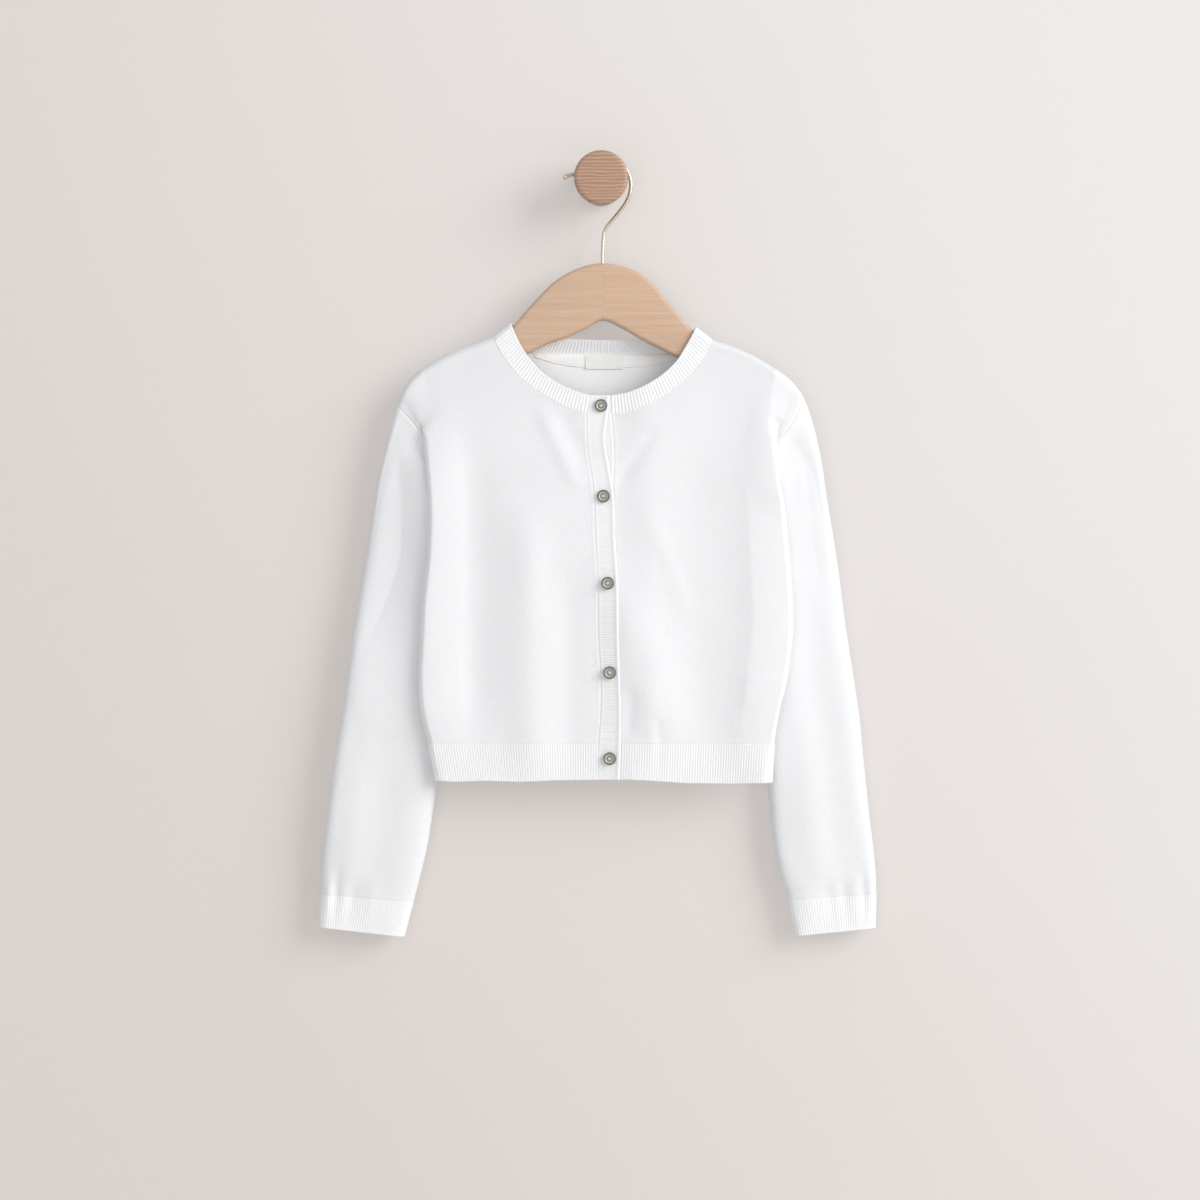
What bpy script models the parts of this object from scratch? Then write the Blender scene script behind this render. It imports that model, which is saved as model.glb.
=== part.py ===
"""Button cardigan on a clothes hanger and wall hook.

A knitted cardigan hangs, buttoned, on a flat wooden hanger. The hanger's wire hook rests on the neck of a
turned wall knob. Every piece of cloth is a closed wall of knitted fabric, worked out from a few lines: the
shoulder, the neck, the fold at each side, the armhole and side seams, and the two edges of each sleeve.

Frame: the origin is the middle of the knob's back face, on the wall. +X is the viewer's right, +Y goes into
the wall and +Z is up. Left and right are the viewer's. Tables and sizes are in millimetres; MM turns them
into metres where an object is made.
"""

import math

import bmesh
import bpy
import numpy as np

MM = 0.001
OBJECT_NAME = "button_cardigan"

# Cloth
CLOTH = 1.5  # thickness of the plain knit
SEAM_GAP = 0.3  # between two pieces that are sewn together
CORNER_GAP = 0.8  # more for each piece where two pieces meet at a right angle
# The underarm, where three pieces meet: how far the sleeve's corner stands off, and which way its wall faces
SLEEVE_CORNER_SHIFT = (0.0, 2.0, -1.4)
SLEEVE_CORNER_NORMAL = {"left": (0.5, -0.8, -0.3), "right": (-0.5, -0.8, -0.3)}
SLEEVE_TIP_SHIFT = {"left": (-0.5, 0.0, -0.4), "right": (1.0, 0.0, -0.6)}  # the same at the shoulder tip
RIB_VALLEY = 0.55  # outer face of a rib's groove, from the middle of the wall
RIB_RIDGE = 1.35  # outer face of a rib, from the middle of the wall
FINE_RIB = 2.2  # from rib to rib at the hem and cuffs
NECK_RIB = 3.4  # from rib to rib on the neckband
BAND_RIB = 2.0  # from rib to rib on the button bands
BAND_LAP = 2.9  # from the middle of the top band to the middle of the band under it
UNDER_BAND_WIDTH = 18.0
UNDER_BAND_HIDDEN_Z = -262.0  # the top band covers the band under it below this height
LAP_REACH = 34.0  # how far from its edge the panel under the lap comes forward again

# Depth, along Y
HANGER_PLANE = -24.0
HANGER_THICK = 11.0
SHOULDER_TIP_Y = -22.0
RIDGE_TURN = 5.5  # drop below the shoulder line in which the cloth turns over the hanger
FRONT_AT_HANGER = -31.3
BACK_AT_HANGER = -16.7
FRONT_BELLY = 9.5  # how far the front hangs forward of the hanger, low down
SIDE_BELLY_LOSS = 3.5  # how much less that is at the sides
BACK_BELLY = 8.5
FRONT_FALL = 55.0  # drop in which most of the belly is reached
BACK_FALL = 25.0
HALF_BODY = 150.0
HANGER_LINE = (-120.0, 0.3)  # height at which the cloth leaves the hanger in the middle, and fall outwards
CREASE_FADE = 0.3  # share of a crease's length over which each end fades
CREASE_BEYOND = 0.12  # how far a crease reaches past the ends given for it
BACK_CREASES = 0.8  # strength of the creases of the back
# The side fold is open above this height and closed, cloth on cloth, this much lower
FOLD_OPEN_Z, FOLD_CLOSES_IN = -190.0, 42.0
# How wide a strip of the back is drawn to the depth of its side seam: above the underarm and well below it
BACK_DRAWN, BACK_DRAWN_LOW = 24.0, 52.0
BACK_DRAWN_Z, BACK_DRAWN_IN = -295.0, 70.0  # where that starts to widen, and the drop in which it does
FOLD_Y = -34.3  # the outermost line of each side fold
SLEEVE_Y = -14.5
SLEEVE_LEANS = {"left": -7.0, "right": 3.0}  # how far the outer fold of a sleeve leans towards the wall
LEANS_FROM, LEANS_IN = 0.1, 0.4  # share of the sleeve's length at which that starts, and where it is full
CUFF_RIGHTS, RIGHTS_FROM = 0.6, 0.75  # share of it that is gone again at the cuff, and where that starts
SLEEVE_HALF = 8.4  # half the thickness of a sleeve that hangs flat
CUFF_HALF = 6.6
SQUARENESS = 9.0  # how square the section of a flat tube is at its two folds
SLEEVE_SLIDE = 0.55  # how far the sleeve's lines lean outwards, away from the armhole seam
SLIDE_END = 0.12  # share of the sleeve's length in which they do so
OUTER_LEAD = 0.4  # how far the outer fold runs ahead of the inner one, halfway down
SHARE_SHOULDER = 0.25  # share of the armhole seam that counts as the shoulder
# Share of the sleeve's length in which it takes its own depth: at the tip, past the shoulder, at the underarm
SETTLE_TIP, SETTLE_SIDE, SETTLE_UNDERARM = 0.35, 0.07, 0.03
NARROWS_FROM = 0.6  # share of the sleeve's length from which it gets flatter towards the cuff
SLEEVE_FOLD_FADE = 0.15
BACK_RELIEF = 0.7  # strength of the sleeves' creases on their backs

# Heights
UNDERARM_Z = -345.0
RIB_TOP_Z = -492.0
HEM_LINE_Z = -524.0  # mean height of the lower edge
NECK_ROW = 0.33  # the row at which the neck seam meets the band
UNDERARM_ROW = 0.5

# Rows of the panels, from the shoulder seam (0) by the underarm (0.5) to the hem rib (1)
ROWS = (0, 0.004, 0.012, 0.03, 0.06, 0.10, 0.16, 0.24, NECK_ROW, 0.41, 0.47, UNDERARM_ROW)
ROWS += (0.565, 0.635, 0.71, 0.785, 0.86, 0.93, 1.0)
FRONT_COLUMNS = (0, 0.09, 0.2, 0.32, 0.44, 0.56, 0.68, 0.8, 0.91, 1.0)
FOLD_COLUMNS = (0.25, 0.5, 0.72, 0.9, 1.0)
SHOULDER_COLUMNS = (0, 0.08, 0.25, 0.55)
BACK_NECK_COLUMNS = (0, 0.035, 0.11, 0.24, 0.41, 0.59, 0.76, 0.89, 0.965)
SLEEVE_RINGS = (0, 0.012, 0.035, 0.07, 0.12, 0.19, 0.28, 0.38, 0.49, 0.60, 0.71, 0.82, 0.91, 0.965, 1.0)

# Lines of each side. A place has the columns x, z, or x, y, z.
SIDES = {
    "left": {
        # from the neck point to the top of the side fold
        "shoulder": (
            (-93.4, -136.6), (-112.4, -143.9), (-128.3, -149.9), (-148.3, -160.6), (-157.0, -165.6),
        ),
        # on to the tip, where front, back and sleeve meet
        "shoulder_end": (
            (-157.0, -165.6), (-162.5, -169.5), (-170.0, -179.0), (-175.9, -189.3), (-178.8, -196.3),
        ),
        # from the neck point to the button band
        "neck": (
            (-93.4, -136.6), (-91.0, -143.5), (-80.7, -160.4), (-67.8, -174.9), (-47.6, -189.3),
            (-28.8, -199.4), (-12.8, -204.2),
        ),
        "band_seam": (
            (-12.8, -204.2), (-11.6, -236.0), (-7.9, -261.0), (-6.1, -277.0), (-4.9, -310.0),
            (-2.8, -352.0), (-2.2, -400.0), (0.0, -442.0), (-0.4, -465.0), (-2.4, RIB_TOP_Z),
            (-3.1, HEM_LINE_Z),
        ),
        # where the front starts to turn towards the side fold
        "knee": (
            (-157.0, -165.6), (-152.5, -179.0), (-148.5, -195.0), (-146.2, -215.0), (-145.0, -240.0),
            (-141.8, -285.0), (-142.5, -326.0), (-147.0, -370.0), (-148.7, -406.0), (-150.2, -433.0),
            (-147.5, -466.0), (-141.0, RIB_TOP_Z), (-135.5, HEM_LINE_Z),
        ),
        # the outermost line of the side fold
        "fold": (
            (-170.0, -31.5, -179.0), (-164.5, -32.3, -192.0), (-158.8, -33.2, -206.0),
            (-155.2, -34.0, -222.0), (-153.6, FOLD_Y, -240.0), (-150.2, FOLD_Y, -290.8),
            (-151.0, FOLD_Y, -326.0),
            (-155.4, FOLD_Y, -370.0), (-157.2, FOLD_Y, -406.0), (-158.7, FOLD_Y, -433.0),
            (-156.2, FOLD_Y, -466.0), (-149.8, FOLD_Y, RIB_TOP_Z), (-143.9, FOLD_Y, HEM_LINE_Z),
        ),
        "armhole_front": (
            (-178.8, -28.5, -196.3), (-172.0, -29.4, -203.5), (-161.5, -30.8, -215.0),
            (-153.0, -30.5, -228.0), (-148.5, -30.0, -250.0), (-145.0, -30.0, -280.0),
            (-139.0, -29.0, -310.0), (-131.0, -26.5, -334.0), (-125.5, -22.0, UNDERARM_Z),
        ),
        "armhole_back": (
            (-178.8, -17.5, -196.3), (-171.5, -16.0, -206.0), (-163.0, -13.5, -222.0),
            (-156.0, -10.5, -245.0), (-151.0, -9.3, -272.0), (-146.0, -9.3, -300.0), (-137.0, -12.0, -327.0),
            (-125.5, -22.0, UNDERARM_Z),
        ),
        "side_seam": (
            (-125.5, -22.0, UNDERARM_Z), (-127.0, -25.5, -368.0), (-131.0, -29.0, -408.0),
            (-138.0, -30.5, -450.0), (-144.5, -31.0, RIB_TOP_Z), (-140.5, -31.0, HEM_LINE_Z),
        ),
        "sleeve_outer": (
            (-178.8, -196.3), (-184.4, -218.4), (-189.4, -238.4), (-194.2, -258.3), (-202.1, -308.4),
            (-211.1, -361.7), (-217.9, -408.0), (-224.0, -453.7), (-233.4, -511.2), (-239.4, -556.2),
            (-243.6, -595.6), (-245.4, -625.0),
        ),
        "sleeve_inner": (
            (-125.5, UNDERARM_Z), (-124.0, -370.0), (-125.5, -400.0), (-129.5, -440.0), (-136.5, -480.0),
            (-144.0, -520.0), (-148.0, -550.0), (-151.6, -574.0), (-156.6, -597.0), (-162.6, -620.5),
            (-165.6, -631.5),
        ),
        "cuff_outer": (-246.9, -653.6),
        "cuff_inner": (-173.6, -662.2),
        # inner edge of the neckband, from its top at the side of the neck to the button band
        "neck_edge": (
            (-78.6, -124.6), (-75.5, -133.0), (-66.3, -150.3), (-54.8, -164.8), (-40.4, -176.3),
            (-21.6, -184.8), (-10.0, -188.4),
        ),
    },
    "right": {
        "shoulder": ((97.2, -139.8), (113.6, -144.8), (132.3, -152.6), (152.3, -164.5)),
        "shoulder_end": ((152.3, -164.5), (159.5, -169.0), (166.4, -175.2), (171.2, -180.8), (175.0, -186.2)),
        "neck": (
            (97.2, -139.8), (94.5, -146.0), (86.6, -159.0), (72.1, -174.9), (53.4, -189.3), (33.2, -199.4),
            (17.3, -203.8), (8.8, -204.6),
        ),
        "band_seam": (
            (8.8, -204.6), (10.6, -224.0), (11.2, -248.0), (10.5, -262.0), (10.4, -285.0), (13.0, -346.0),
            (13.8, -392.0), (14.6, -425.0), (15.8, -478.0), (15.6, RIB_TOP_Z), (14.8, HEM_LINE_Z),
        ),
        "knee": (
            (152.3, -164.5), (150.0, -177.0), (147.5, -192.0), (145.8, -210.0), (144.6, -228.0),
            (146.0, -250.0), (152.0, -294.0), (154.8, -325.0), (157.6, -360.8), (158.4, -389.6),
            (157.0, -411.0), (152.6, -440.0), (147.5, -466.0), (142.0, RIB_TOP_Z), (140.0, HEM_LINE_Z),
        ),
        "fold": (
            (166.4, -31.5, -175.2), (162.5, -33.4, -184.5), (157.8, -34.8, -196.0), (154.4, -35.4, -209.0),
            (152.8, -35.2, -228.0), (154.2, -34.8, -250.0), (160.3, FOLD_Y, -294.0),
            (163.3, FOLD_Y, -325.0), (166.1, FOLD_Y, -360.8), (166.8, FOLD_Y, -389.6),
            (165.2, FOLD_Y, -411.0), (160.9, FOLD_Y, -440.0), (155.0, FOLD_Y, -463.0),
            (150.4, FOLD_Y, RIB_TOP_Z), (148.4, FOLD_Y, HEM_LINE_Z),
        ),
        "armhole_front": (
            (175.0, -29.6, -186.2), (172.8, -31.2, -197.0), (166.8, -32.2, -211.5),
            (159.5, -32.2, -221.0), (153.5, -31.8, -232.0), (150.5, -31.0, -252.0),
            (149.0, -30.2, -282.0), (143.0, -29.0, -312.0), (134.0, -26.5, -334.0),
            (127.0, -22.0, UNDERARM_Z),
        ),
        "armhole_back": (
            (175.0, -17.5, -186.2), (171.5, -15.8, -200.0), (165.0, -13.0, -220.0), (158.0, -10.3, -245.0),
            (153.5, -9.3, -272.0), (148.0, -9.3, -300.0), (139.0, -12.0, -327.0), (127.0, -22.0, UNDERARM_Z),
        ),
        "side_seam": (
            (127.0, -22.0, UNDERARM_Z), (129.5, -25.5, -368.0), (134.5, -29.0, -408.0),
            (140.5, -30.5, -450.0), (145.0, -31.0, RIB_TOP_Z), (145.0, -31.0, HEM_LINE_Z),
        ),
        "sleeve_outer": (
            (175.0, -186.2), (179.6, -196.8), (184.5, -212.0), (191.0, -238.0), (198.0, -281.8),
            (206.9, -335.1), (214.0, -388.4), (221.5, -436.3), (226.0, -466.2), (229.0, -496.2),
            (232.0, -526.2), (235.0, -556.2), (238.7, -586.1), (241.0, -608.6), (241.4, -625.0),
        ),
        "sleeve_inner": (
            (127.0, UNDERARM_Z), (126.5, -370.0), (128.0, -400.0), (132.0, -440.0), (139.0, -480.0),
            (146.5, -522.0), (148.9, -548.7), (151.8, -578.6), (157.1, -605.6), (162.5, -622.0),
            (164.6, -630.0),
        ),
        "cuff_outer": (240.6, -654.8),
        "cuff_inner": (171.4, -661.4),
        "neck_edge": (
            (82.6, -128.6), (79.5, -135.0), (75.1, -143.1), (65.0, -159.0), (46.2, -174.9), (24.5, -185.2),
            (8.4, -188.4),
        ),
    },
}

# The seam between back and neckband, then the neckband's free edge at the back: x, y, z from left to right
BACK_NECK_SEAM = (
    (-93.4, HANGER_PLANE, -136.6), (-89.5, -16.6, -140.6), (-78.0, -12.6, -146.4), (-55.0, -10.4, -150.0),
    (-20.0, -9.6, -150.6), (25.0, -9.6, -150.6), (60.0, -10.4, -150.2), (82.0, -12.6, -147.6),
    (93.5, -16.6, -143.2), (97.2, HANGER_PLANE, -139.8),
)
BACK_NECK_EDGE = (
    (-78.6, HANGER_PLANE, -124.6), (-75.0, -16.0, -127.6), (-66.0, -15.4, -132.6), (-50.0, -15.6, -136.2),
    (-25.0, -16.0, -137.9), (0.0, -16.0, -138.6), (28.0, -16.0, -138.2), (52.0, -15.6, -137.0),
    (68.0, -15.4, -134.8), (79.0, -16.0, -131.4), (82.6, HANGER_PLANE, -128.6),
)
# Right edge of the top band: x, z
BAND_EDGE = (
    (7.4, -188.4), (5.5, -209.5), (3.7, -224.0), (6.8, -248.6), (10.4, -269.0), (11.7, -285.0),
    (12.9, -322.0), (14.7, -346.0), (15.5, -392.0), (16.2, -425.0), (17.4, -460.0), (17.2, RIB_TOP_Z),
    (16.2, -523.7),
)
# Lower edge of the hem rib: x, z
HEM_EDGE = (
    (-150.0, -523.7), (-127.0, -525.1), (-100.0, -524.3), (-71.0, -525.1), (-45.0, HEM_LINE_Z), (0.0, -523.2),
    (28.0, -523.2), (55.0, -524.9), (73.0, -526.3), (115.0, -526.7), (150.0, -525.7),
)
# Soft creases of the front: ends x, z and x, z, half width, height towards the viewer
FRONT_FOLDS = (
    (-147.0, -205.0, -147.0, -510.0, 21.0, 5.8),
    (-112.0, -235.0, -110.0, -480.0, 21.0, -3.0),
    (-63.0, -290.0, -60.0, -520.0, 18.0, 3.0),
    (-28.0, -350.0, -26.0, -500.0, 12.0, -1.1),
    (-53.0, -200.0, -21.0, -268.0, 7.0, 1.1),
    (-34.0, -204.0, -12.0, -248.0, 8.0, -0.9),
    (46.0, -220.0, 15.0, -266.0, 6.0, -1.2),
    (20.0, -370.0, 27.0, -550.0, 15.0, 2.4),
    (38.0, -435.0, 46.0, -500.0, 10.0, 1.2),
    (8.0, -330.0, 67.0, -496.0, 20.0, 2.8),
    (42.0, -290.0, 76.0, -380.0, 8.0, 0.6),
    (26.0, -446.0, 25.0, -486.0, 5.0, -0.9),
    (49.0, -470.0, 51.0, -496.0, 5.0, -0.8),
    (78.0, -235.0, 80.0, -510.0, 22.0, -1.0),
    (149.0, -188.0, 148.0, -290.0, 13.0, 3.2),
    (152.0, -215.0, 150.0, -560.0, 32.0, 8.4),
    (133.0, -428.0, 131.0, -462.0, 9.0, 0.8),
)
# The same for the back; a height towards the wall is positive
BACK_FOLDS = (
    (-96.0, -215.0, -84.0, -470.0, 15.0, 2.0),
    (-30.0, -330.0, -38.0, -488.0, 13.0, 1.6),
    (28.0, -250.0, 40.0, -420.0, 14.0, -2.2),
    (88.0, -230.0, 96.0, -480.0, 15.0, 1.8),
)
# Gathers above a cuff: share of the way from the outer to the inner fold, height, reach up the sleeve
SLEEVE_GATHERS = {
    "left": ((0.16, 1.3, 0.10), (0.28, -1.6, 0.13), (0.48, -1.4, 0.09), (0.68, 1.2, 0.11)),
    "right": ((0.24, -1.5, 0.12), (0.50, -1.3, 0.08), (0.66, -1.4, 0.10), (0.86, 1.2, 0.12)),
}
GATHER_WIDTH = 0.06
# Where the side fold of the body lies on a sleeve, the sleeve's front comes forward to it: how high and in
# how wide a strip, above and low down, where that changes, its reach under the fold, and its two ends
MEET_HEIGHT = {"left": (6.9, 4.9), "right": (2.6, 1.0)}
MEET_WIDTH, MEET_WIDTH_LOW, MEET_WIDENS_Z, MEET_WIDENS_IN = 24.0, 62.0, -320.0, 150.0
MEET_UNDER = 5.0
MEET_ENDS = (-226.0, -590.0)
MEET_FROM = 0.03  # share of the sleeve's length in which this starts
# Long creases of the sleeves, seen from the front: share across, height, from and to along the sleeve
SLEEVE_FOLDS = {
    "left": ((0.42, 1.5, 0.55, 1.0),),
    "right": ((0.72, 2.0, 0.30, 1.0), (0.28, 0.6, 0.25, 0.80)),
}
SLEEVE_FOLD_WIDTH = 0.15

# Buttons: x, z of each
BUTTONS = ((0.0, -197.5), (2.1, -276.4), (5.7, -352.1), (7.5, -429.8), (7.5, -504.5))
BUTTON_RADIUS = 5.5
# Half section of a button: radius, height
BUTTON_PROFILE = (
    (0, 1.2), (3.5, 1.2), (4.3, 2.1), (5.0, 2.1), (BUTTON_RADIUS, 1.4), (BUTTON_RADIUS, 0.6),
    (4.8, 0), (0, 0),
)
BUTTON_STEPS = 16

# What is sewn inside the back neck. A lift is added to the seam gap, because the back is curved
TAPE_THICK = 1.0
TAPE_LIFT = 0.35
TAPE_BELOW_SEAM = 0.9
TAPE_COLUMNS = 9
LABEL_THICK = 1.0
LABEL_LIFT = 0.7
# Lower edge of the tape: x, z
TAPE_EDGE = (
    (-58.0, -153.4), (-40.0, -158.6), (-14.0, -162.2), (20.0, -162.4), (46.0, -160.2), (68.0, -155.6),
)
LABEL_LEFT, LABEL_RIGHT = -13.7, 19.8
LABEL_TOP, LABEL_BOTTOM = -151.4, -163.6

# Hanger: upper and lower outline x, z from left to right
HANGER_TOP = (
    (-160.0, -172.0), (-148.0, -163.2), (-128.0, -152.6), (-112.0, -147.0), (-94.0, -141.0), (-78.0, -128.3),
    (-65.8, -114.0), (-52.9, -99.9), (-41.2, -88.6), (-27.3, -79.9), (-12.0, -74.0), (1.3, -72.1),
    (14.5, -73.8), (32.1, -79.9), (46.1, -90.9), (57.8, -105.6), (69.4, -119.2), (82.0, -132.7),
    (97.5, -144.2), (114.0, -148.2), (133.0, -155.8), (150.0, -166.0), (162.0, -173.6),
)
HANGER_BOTTOM = (
    (164.5, -178.2), (161.0, -182.4), (150.0, -180.6), (128.0, -173.6), (96.0, -165.0), (68.8, -155.4),
    (51.9, -147.3), (34.5, -138.5), (17.0, -128.4), (1.8, -122.2), (-15.7, -130.6), (-29.6, -136.8),
    (-47.1, -142.8), (-64.6, -151.4), (-94.0, -161.0), (-126.0, -170.6), (-147.0, -178.0),
    (-159.0, -180.6), (-162.5, -176.8),
)
HANGER_ROUND = 3.5  # radius of its long edges
HOOK_HOLE_DEPTH = 16.0
HOOK_HOLE_RADIUS = 2.0

# Hook: x, z of the wire's middle, from its tip over the knob and down into the hanger
HOOK_RADIUS = 1.65
HOOK_ROUTE = (
    (-33.2, 2.0), (-29.6, 4.4), (-26.2, 5.3), (-23.4, 6.4), (-20.5, 9.6), (-16.5, 14.0), (-11.2, 18.2),
    (-4.6, 20.8), (1.3, 21.35), (8.0, 20.5), (14.8, 17.4), (20.6, 12.2), (24.6, 5.0), (26.1, -3.0),
    (25.0, -11.5), (21.8, -19.0), (17.7, -24.8), (13.2, -30.6), (9.0, -35.4), (5.2, -40.0), (2.8, -44.6),
    (2.0, -51.0), (1.4, -62.0), (1.25, -74.0), (1.2, -86.0),
)
HOOK_TIP_SWELL = (0.55, 1.15, 1.3, 1.1)  # wire radius at the first points, which make the rounded tip
# Knob: half section radius, distance from the wall
KNOB_FOOT = 18.3  # radius of the flat back that lies on the wall
KNOB_PROFILE = (
    (0, 52.0), (20.5, 52.0), (22.8, 51.0), (23.5, 48.6), (23.5, 43.0), (22.6, 40.6), (19.0, 36.5),
    (19.0, 2.0), (KNOB_FOOT, 0), (0, 0),
)
KNOB_STEPS = 32

# Finishes: kind, linear colour, roughness, metallic
KNIT_FINISH = ("plain knit", (0.86, 0.86, 0.87), 0.9, 0.0)
RIB_FINISH = ("rib knit", (0.86, 0.86, 0.87), 0.9, 0.0)
TAPE_FINISH = ("woven tape", (0.82, 0.82, 0.82), 0.9, 0.0)
LABEL_FINISH = ("satin", (0.80, 0.78, 0.70), 0.7, 0.0)
BUTTON_FINISH = ("smoky pearl", (0.33, 0.34, 0.30), 0.3, 0.0)
BEECH_FINISH = ("beech", (0.69, 0.50, 0.33), 0.5, 0.0)
KNOB_FINISH = ("turned beech", (0.42, 0.20, 0.11), 0.45, 0.0)
WIRE_FINISH = ("champagne wire", (0.62, 0.55, 0.44), 0.3, 1.0)


# ---------------------------------------------------------------- lines

def smooth_line(places, between=16):
    """Dense places on a smooth curve through the given ones."""
    points = np.array(places, float)
    lengths = np.linalg.norm(np.diff(points, axis=0), axis=1)[:, None]
    slopes = np.diff(points, axis=0) / lengths
    inner = (slopes[:-1] * lengths[1:] + slopes[1:] * lengths[:-1]) / (lengths[:-1] + lengths[1:])
    tangents = np.vstack([slopes[:1], inner, slopes[-1:]])
    dense = []
    for i in range(len(points) - 1):
        for u in np.arange(between) / between:
            pulls = tangents[i] * lengths[i], tangents[i + 1] * lengths[i]
            dense.append(hermite(points[i], points[i + 1], *pulls, u))
    return np.array(dense + [points[-1]])


def hermite(start, end, start_pull, end_pull, u):
    """The place at share u of a curve from start to end that leaves and arrives along the two pulls."""
    return (
        (2 * u**3 - 3 * u**2 + 1) * start
        + (u**3 - 2 * u**2 + u) * start_pull
        + (3 * u**2 - 2 * u**3) * end
        + (u**3 - u**2) * end_pull
    )


def along(line, shares):
    """The places at the given shares of a line's length."""
    lengths = np.concatenate([[0], np.cumsum(np.linalg.norm(np.diff(line, axis=0), axis=1))])
    wanted = np.asarray(shares, float) * lengths[-1]
    return np.stack([np.interp(wanted, lengths, line[:, k]) for k in range(line.shape[1])], axis=-1)


def at_height(line, heights):
    """The places of a line that runs downwards at the given heights, which are in its last column."""
    drops = -np.asarray(heights, float)
    return np.stack([np.interp(drops, -line[:, -1], line[:, k]) for k in range(line.shape[1])], axis=-1)


def ease(value):
    """0 below 0, 1 above 1, and smooth between."""
    clipped = np.clip(value, 0, 1)
    return clipped * clipped * (3 - 2 * clipped)


def unit(vectors):
    return vectors / np.maximum(np.linalg.norm(vectors, axis=-1, keepdims=True), 1e-9)


def smooth_lines(table):
    """Every line of a side as a smooth one. The entries that hold one place are left out."""
    return {name: smooth_line(places) for name, places in table.items() if len(places) > 2}


LINES = {side: smooth_lines(table) for side, table in SIDES.items()}
BAND_EDGE_LINE = smooth_line(BAND_EDGE)
TAPE_EDGE_LINE = smooth_line(TAPE_EDGE)


# ---------------------------------------------------------------- depth of the cloth

def creases(folds, x, z):
    """Sum of the soft creases of a table at the places x, z."""
    total = np.zeros(np.broadcast(x, z).shape)
    for x0, z0, x1, z1, width, height in folds:
        length = math.hypot(x1 - x0, z1 - z0)
        dx, dz = (x1 - x0) / length, (z1 - z0) / length
        share = ((x - x0) * dx + (z - z0) * dz) / length
        off = (x - x0) * dz - (z - z0) * dx
        ends = ease((share + CREASE_BEYOND) / CREASE_FADE) * ease((1 + CREASE_BEYOND - share) / CREASE_FADE)
        total = total + height * ends * np.exp(-((off / width) ** 2))
    return total


def drop_below_hanger(x, z):
    level, fall = HANGER_LINE
    return np.maximum(0, level - fall * np.abs(x) - z)


def front_depth(x, z):
    """Y of the middle of the front, away from its edges."""
    full = FRONT_BELLY - SIDE_BELLY_LOSS * (x / HALF_BODY) ** 2
    hang = 1 - np.exp(-drop_below_hanger(x, z) / FRONT_FALL)
    return FRONT_AT_HANGER - full * hang - creases(FRONT_FOLDS, x, z)


def back_depth(x, z):
    """Y of the middle of the back, away from its edges."""
    hang = 1 - np.exp(-drop_below_hanger(x, z) / BACK_FALL)
    return BACK_AT_HANGER + BACK_BELLY * hang + BACK_CREASES * creases(BACK_FOLDS, x, z)


def lap_depth(x, z):
    """How far the right front steps back near its edge, to pass under the top band."""
    edge = at_height(LINES["right"]["band_seam"], z)[..., 0]
    return BAND_LAP * (1 - ease((x - edge) / LAP_REACH))


def turn_over(places, top):
    """Rounds the cloth over the hanger, from the ridge at the top row to its full depth a turn below it."""
    drop = np.linalg.norm((places - top)[..., [0, 2]], axis=-1)
    share = np.sqrt(1 - (1 - np.minimum(1, drop / RIDGE_TURN)) ** 2)
    rounded = places.copy()
    rounded[..., 1] = top[..., 1] + (places[..., 1] - top[..., 1]) * share
    return rounded


def patch(left, right, top, bottom, rows, columns):
    """Coons patch: a grid of places between four edge lines, rows by columns."""
    t = np.asarray(rows)[:, None, None]
    s = np.asarray(columns)[None, :, None]
    sides = (1 - s) * left[:, None] + s * right[:, None]
    ends = (1 - t) * top[None] + t * bottom[None]
    corners = (1 - s) * ((1 - t) * top[0] + t * bottom[0]) + s * ((1 - t) * top[-1] + t * bottom[-1])
    return sides + ends - corners


# ---------------------------------------------------------------- panels

def split_rows(rows, first, second, meet=UNDERARM_ROW):
    """Places on the first line for rows up to the meeting row, and on the second line below it."""
    rows = np.asarray(rows, float)
    upper = along(first, np.minimum(rows, meet) / meet)
    lower = along(second, (np.maximum(rows, meet) - meet) / (1 - meet))
    return np.where((rows <= meet)[:, None], upper, lower)


def above(line, height):
    """The part of a line that is above a height."""
    return np.vstack([line[line[:, -1] > height], at_height(line, [height])])


def below(line, height, lowest=RIB_TOP_Z):
    """The part of a line from a height down to the lowest."""
    inside = (line[:, -1] < height) & (line[:, -1] > lowest)
    return np.vstack([at_height(line, [height]), line[inside], at_height(line, [lowest])])


def fold_curve(knee, fold, seam, shares):
    """Columns from the knee round the side fold to the seam. The fold is closed well below the tip."""
    folded = ease((FOLD_OPEN_Z - fold[:, 2:]) / FOLD_CLOSES_IN)
    back = np.array([0.0, 1.0, 0.0])
    out = unit((fold - knee) * [1, 0, 1])
    at_fold = unit((1 - folded) * unit(seam - knee) + folded * back)
    at_seam = unit((1 - folded) * unit(seam - fold) + folded * back)
    first = np.linalg.norm(fold - knee, axis=1, keepdims=True)
    second = np.linalg.norm(seam - fold, axis=1, keepdims=True)
    columns = []
    for share in shares:
        if share <= 0.5:
            columns.append(hermite(knee, fold, out * first, at_fold * first, share * 2))
        else:
            columns.append(hermite(fold, seam, at_fold * second, at_seam * second, share * 2 - 1))
    return np.stack(columns, axis=1)


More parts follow.
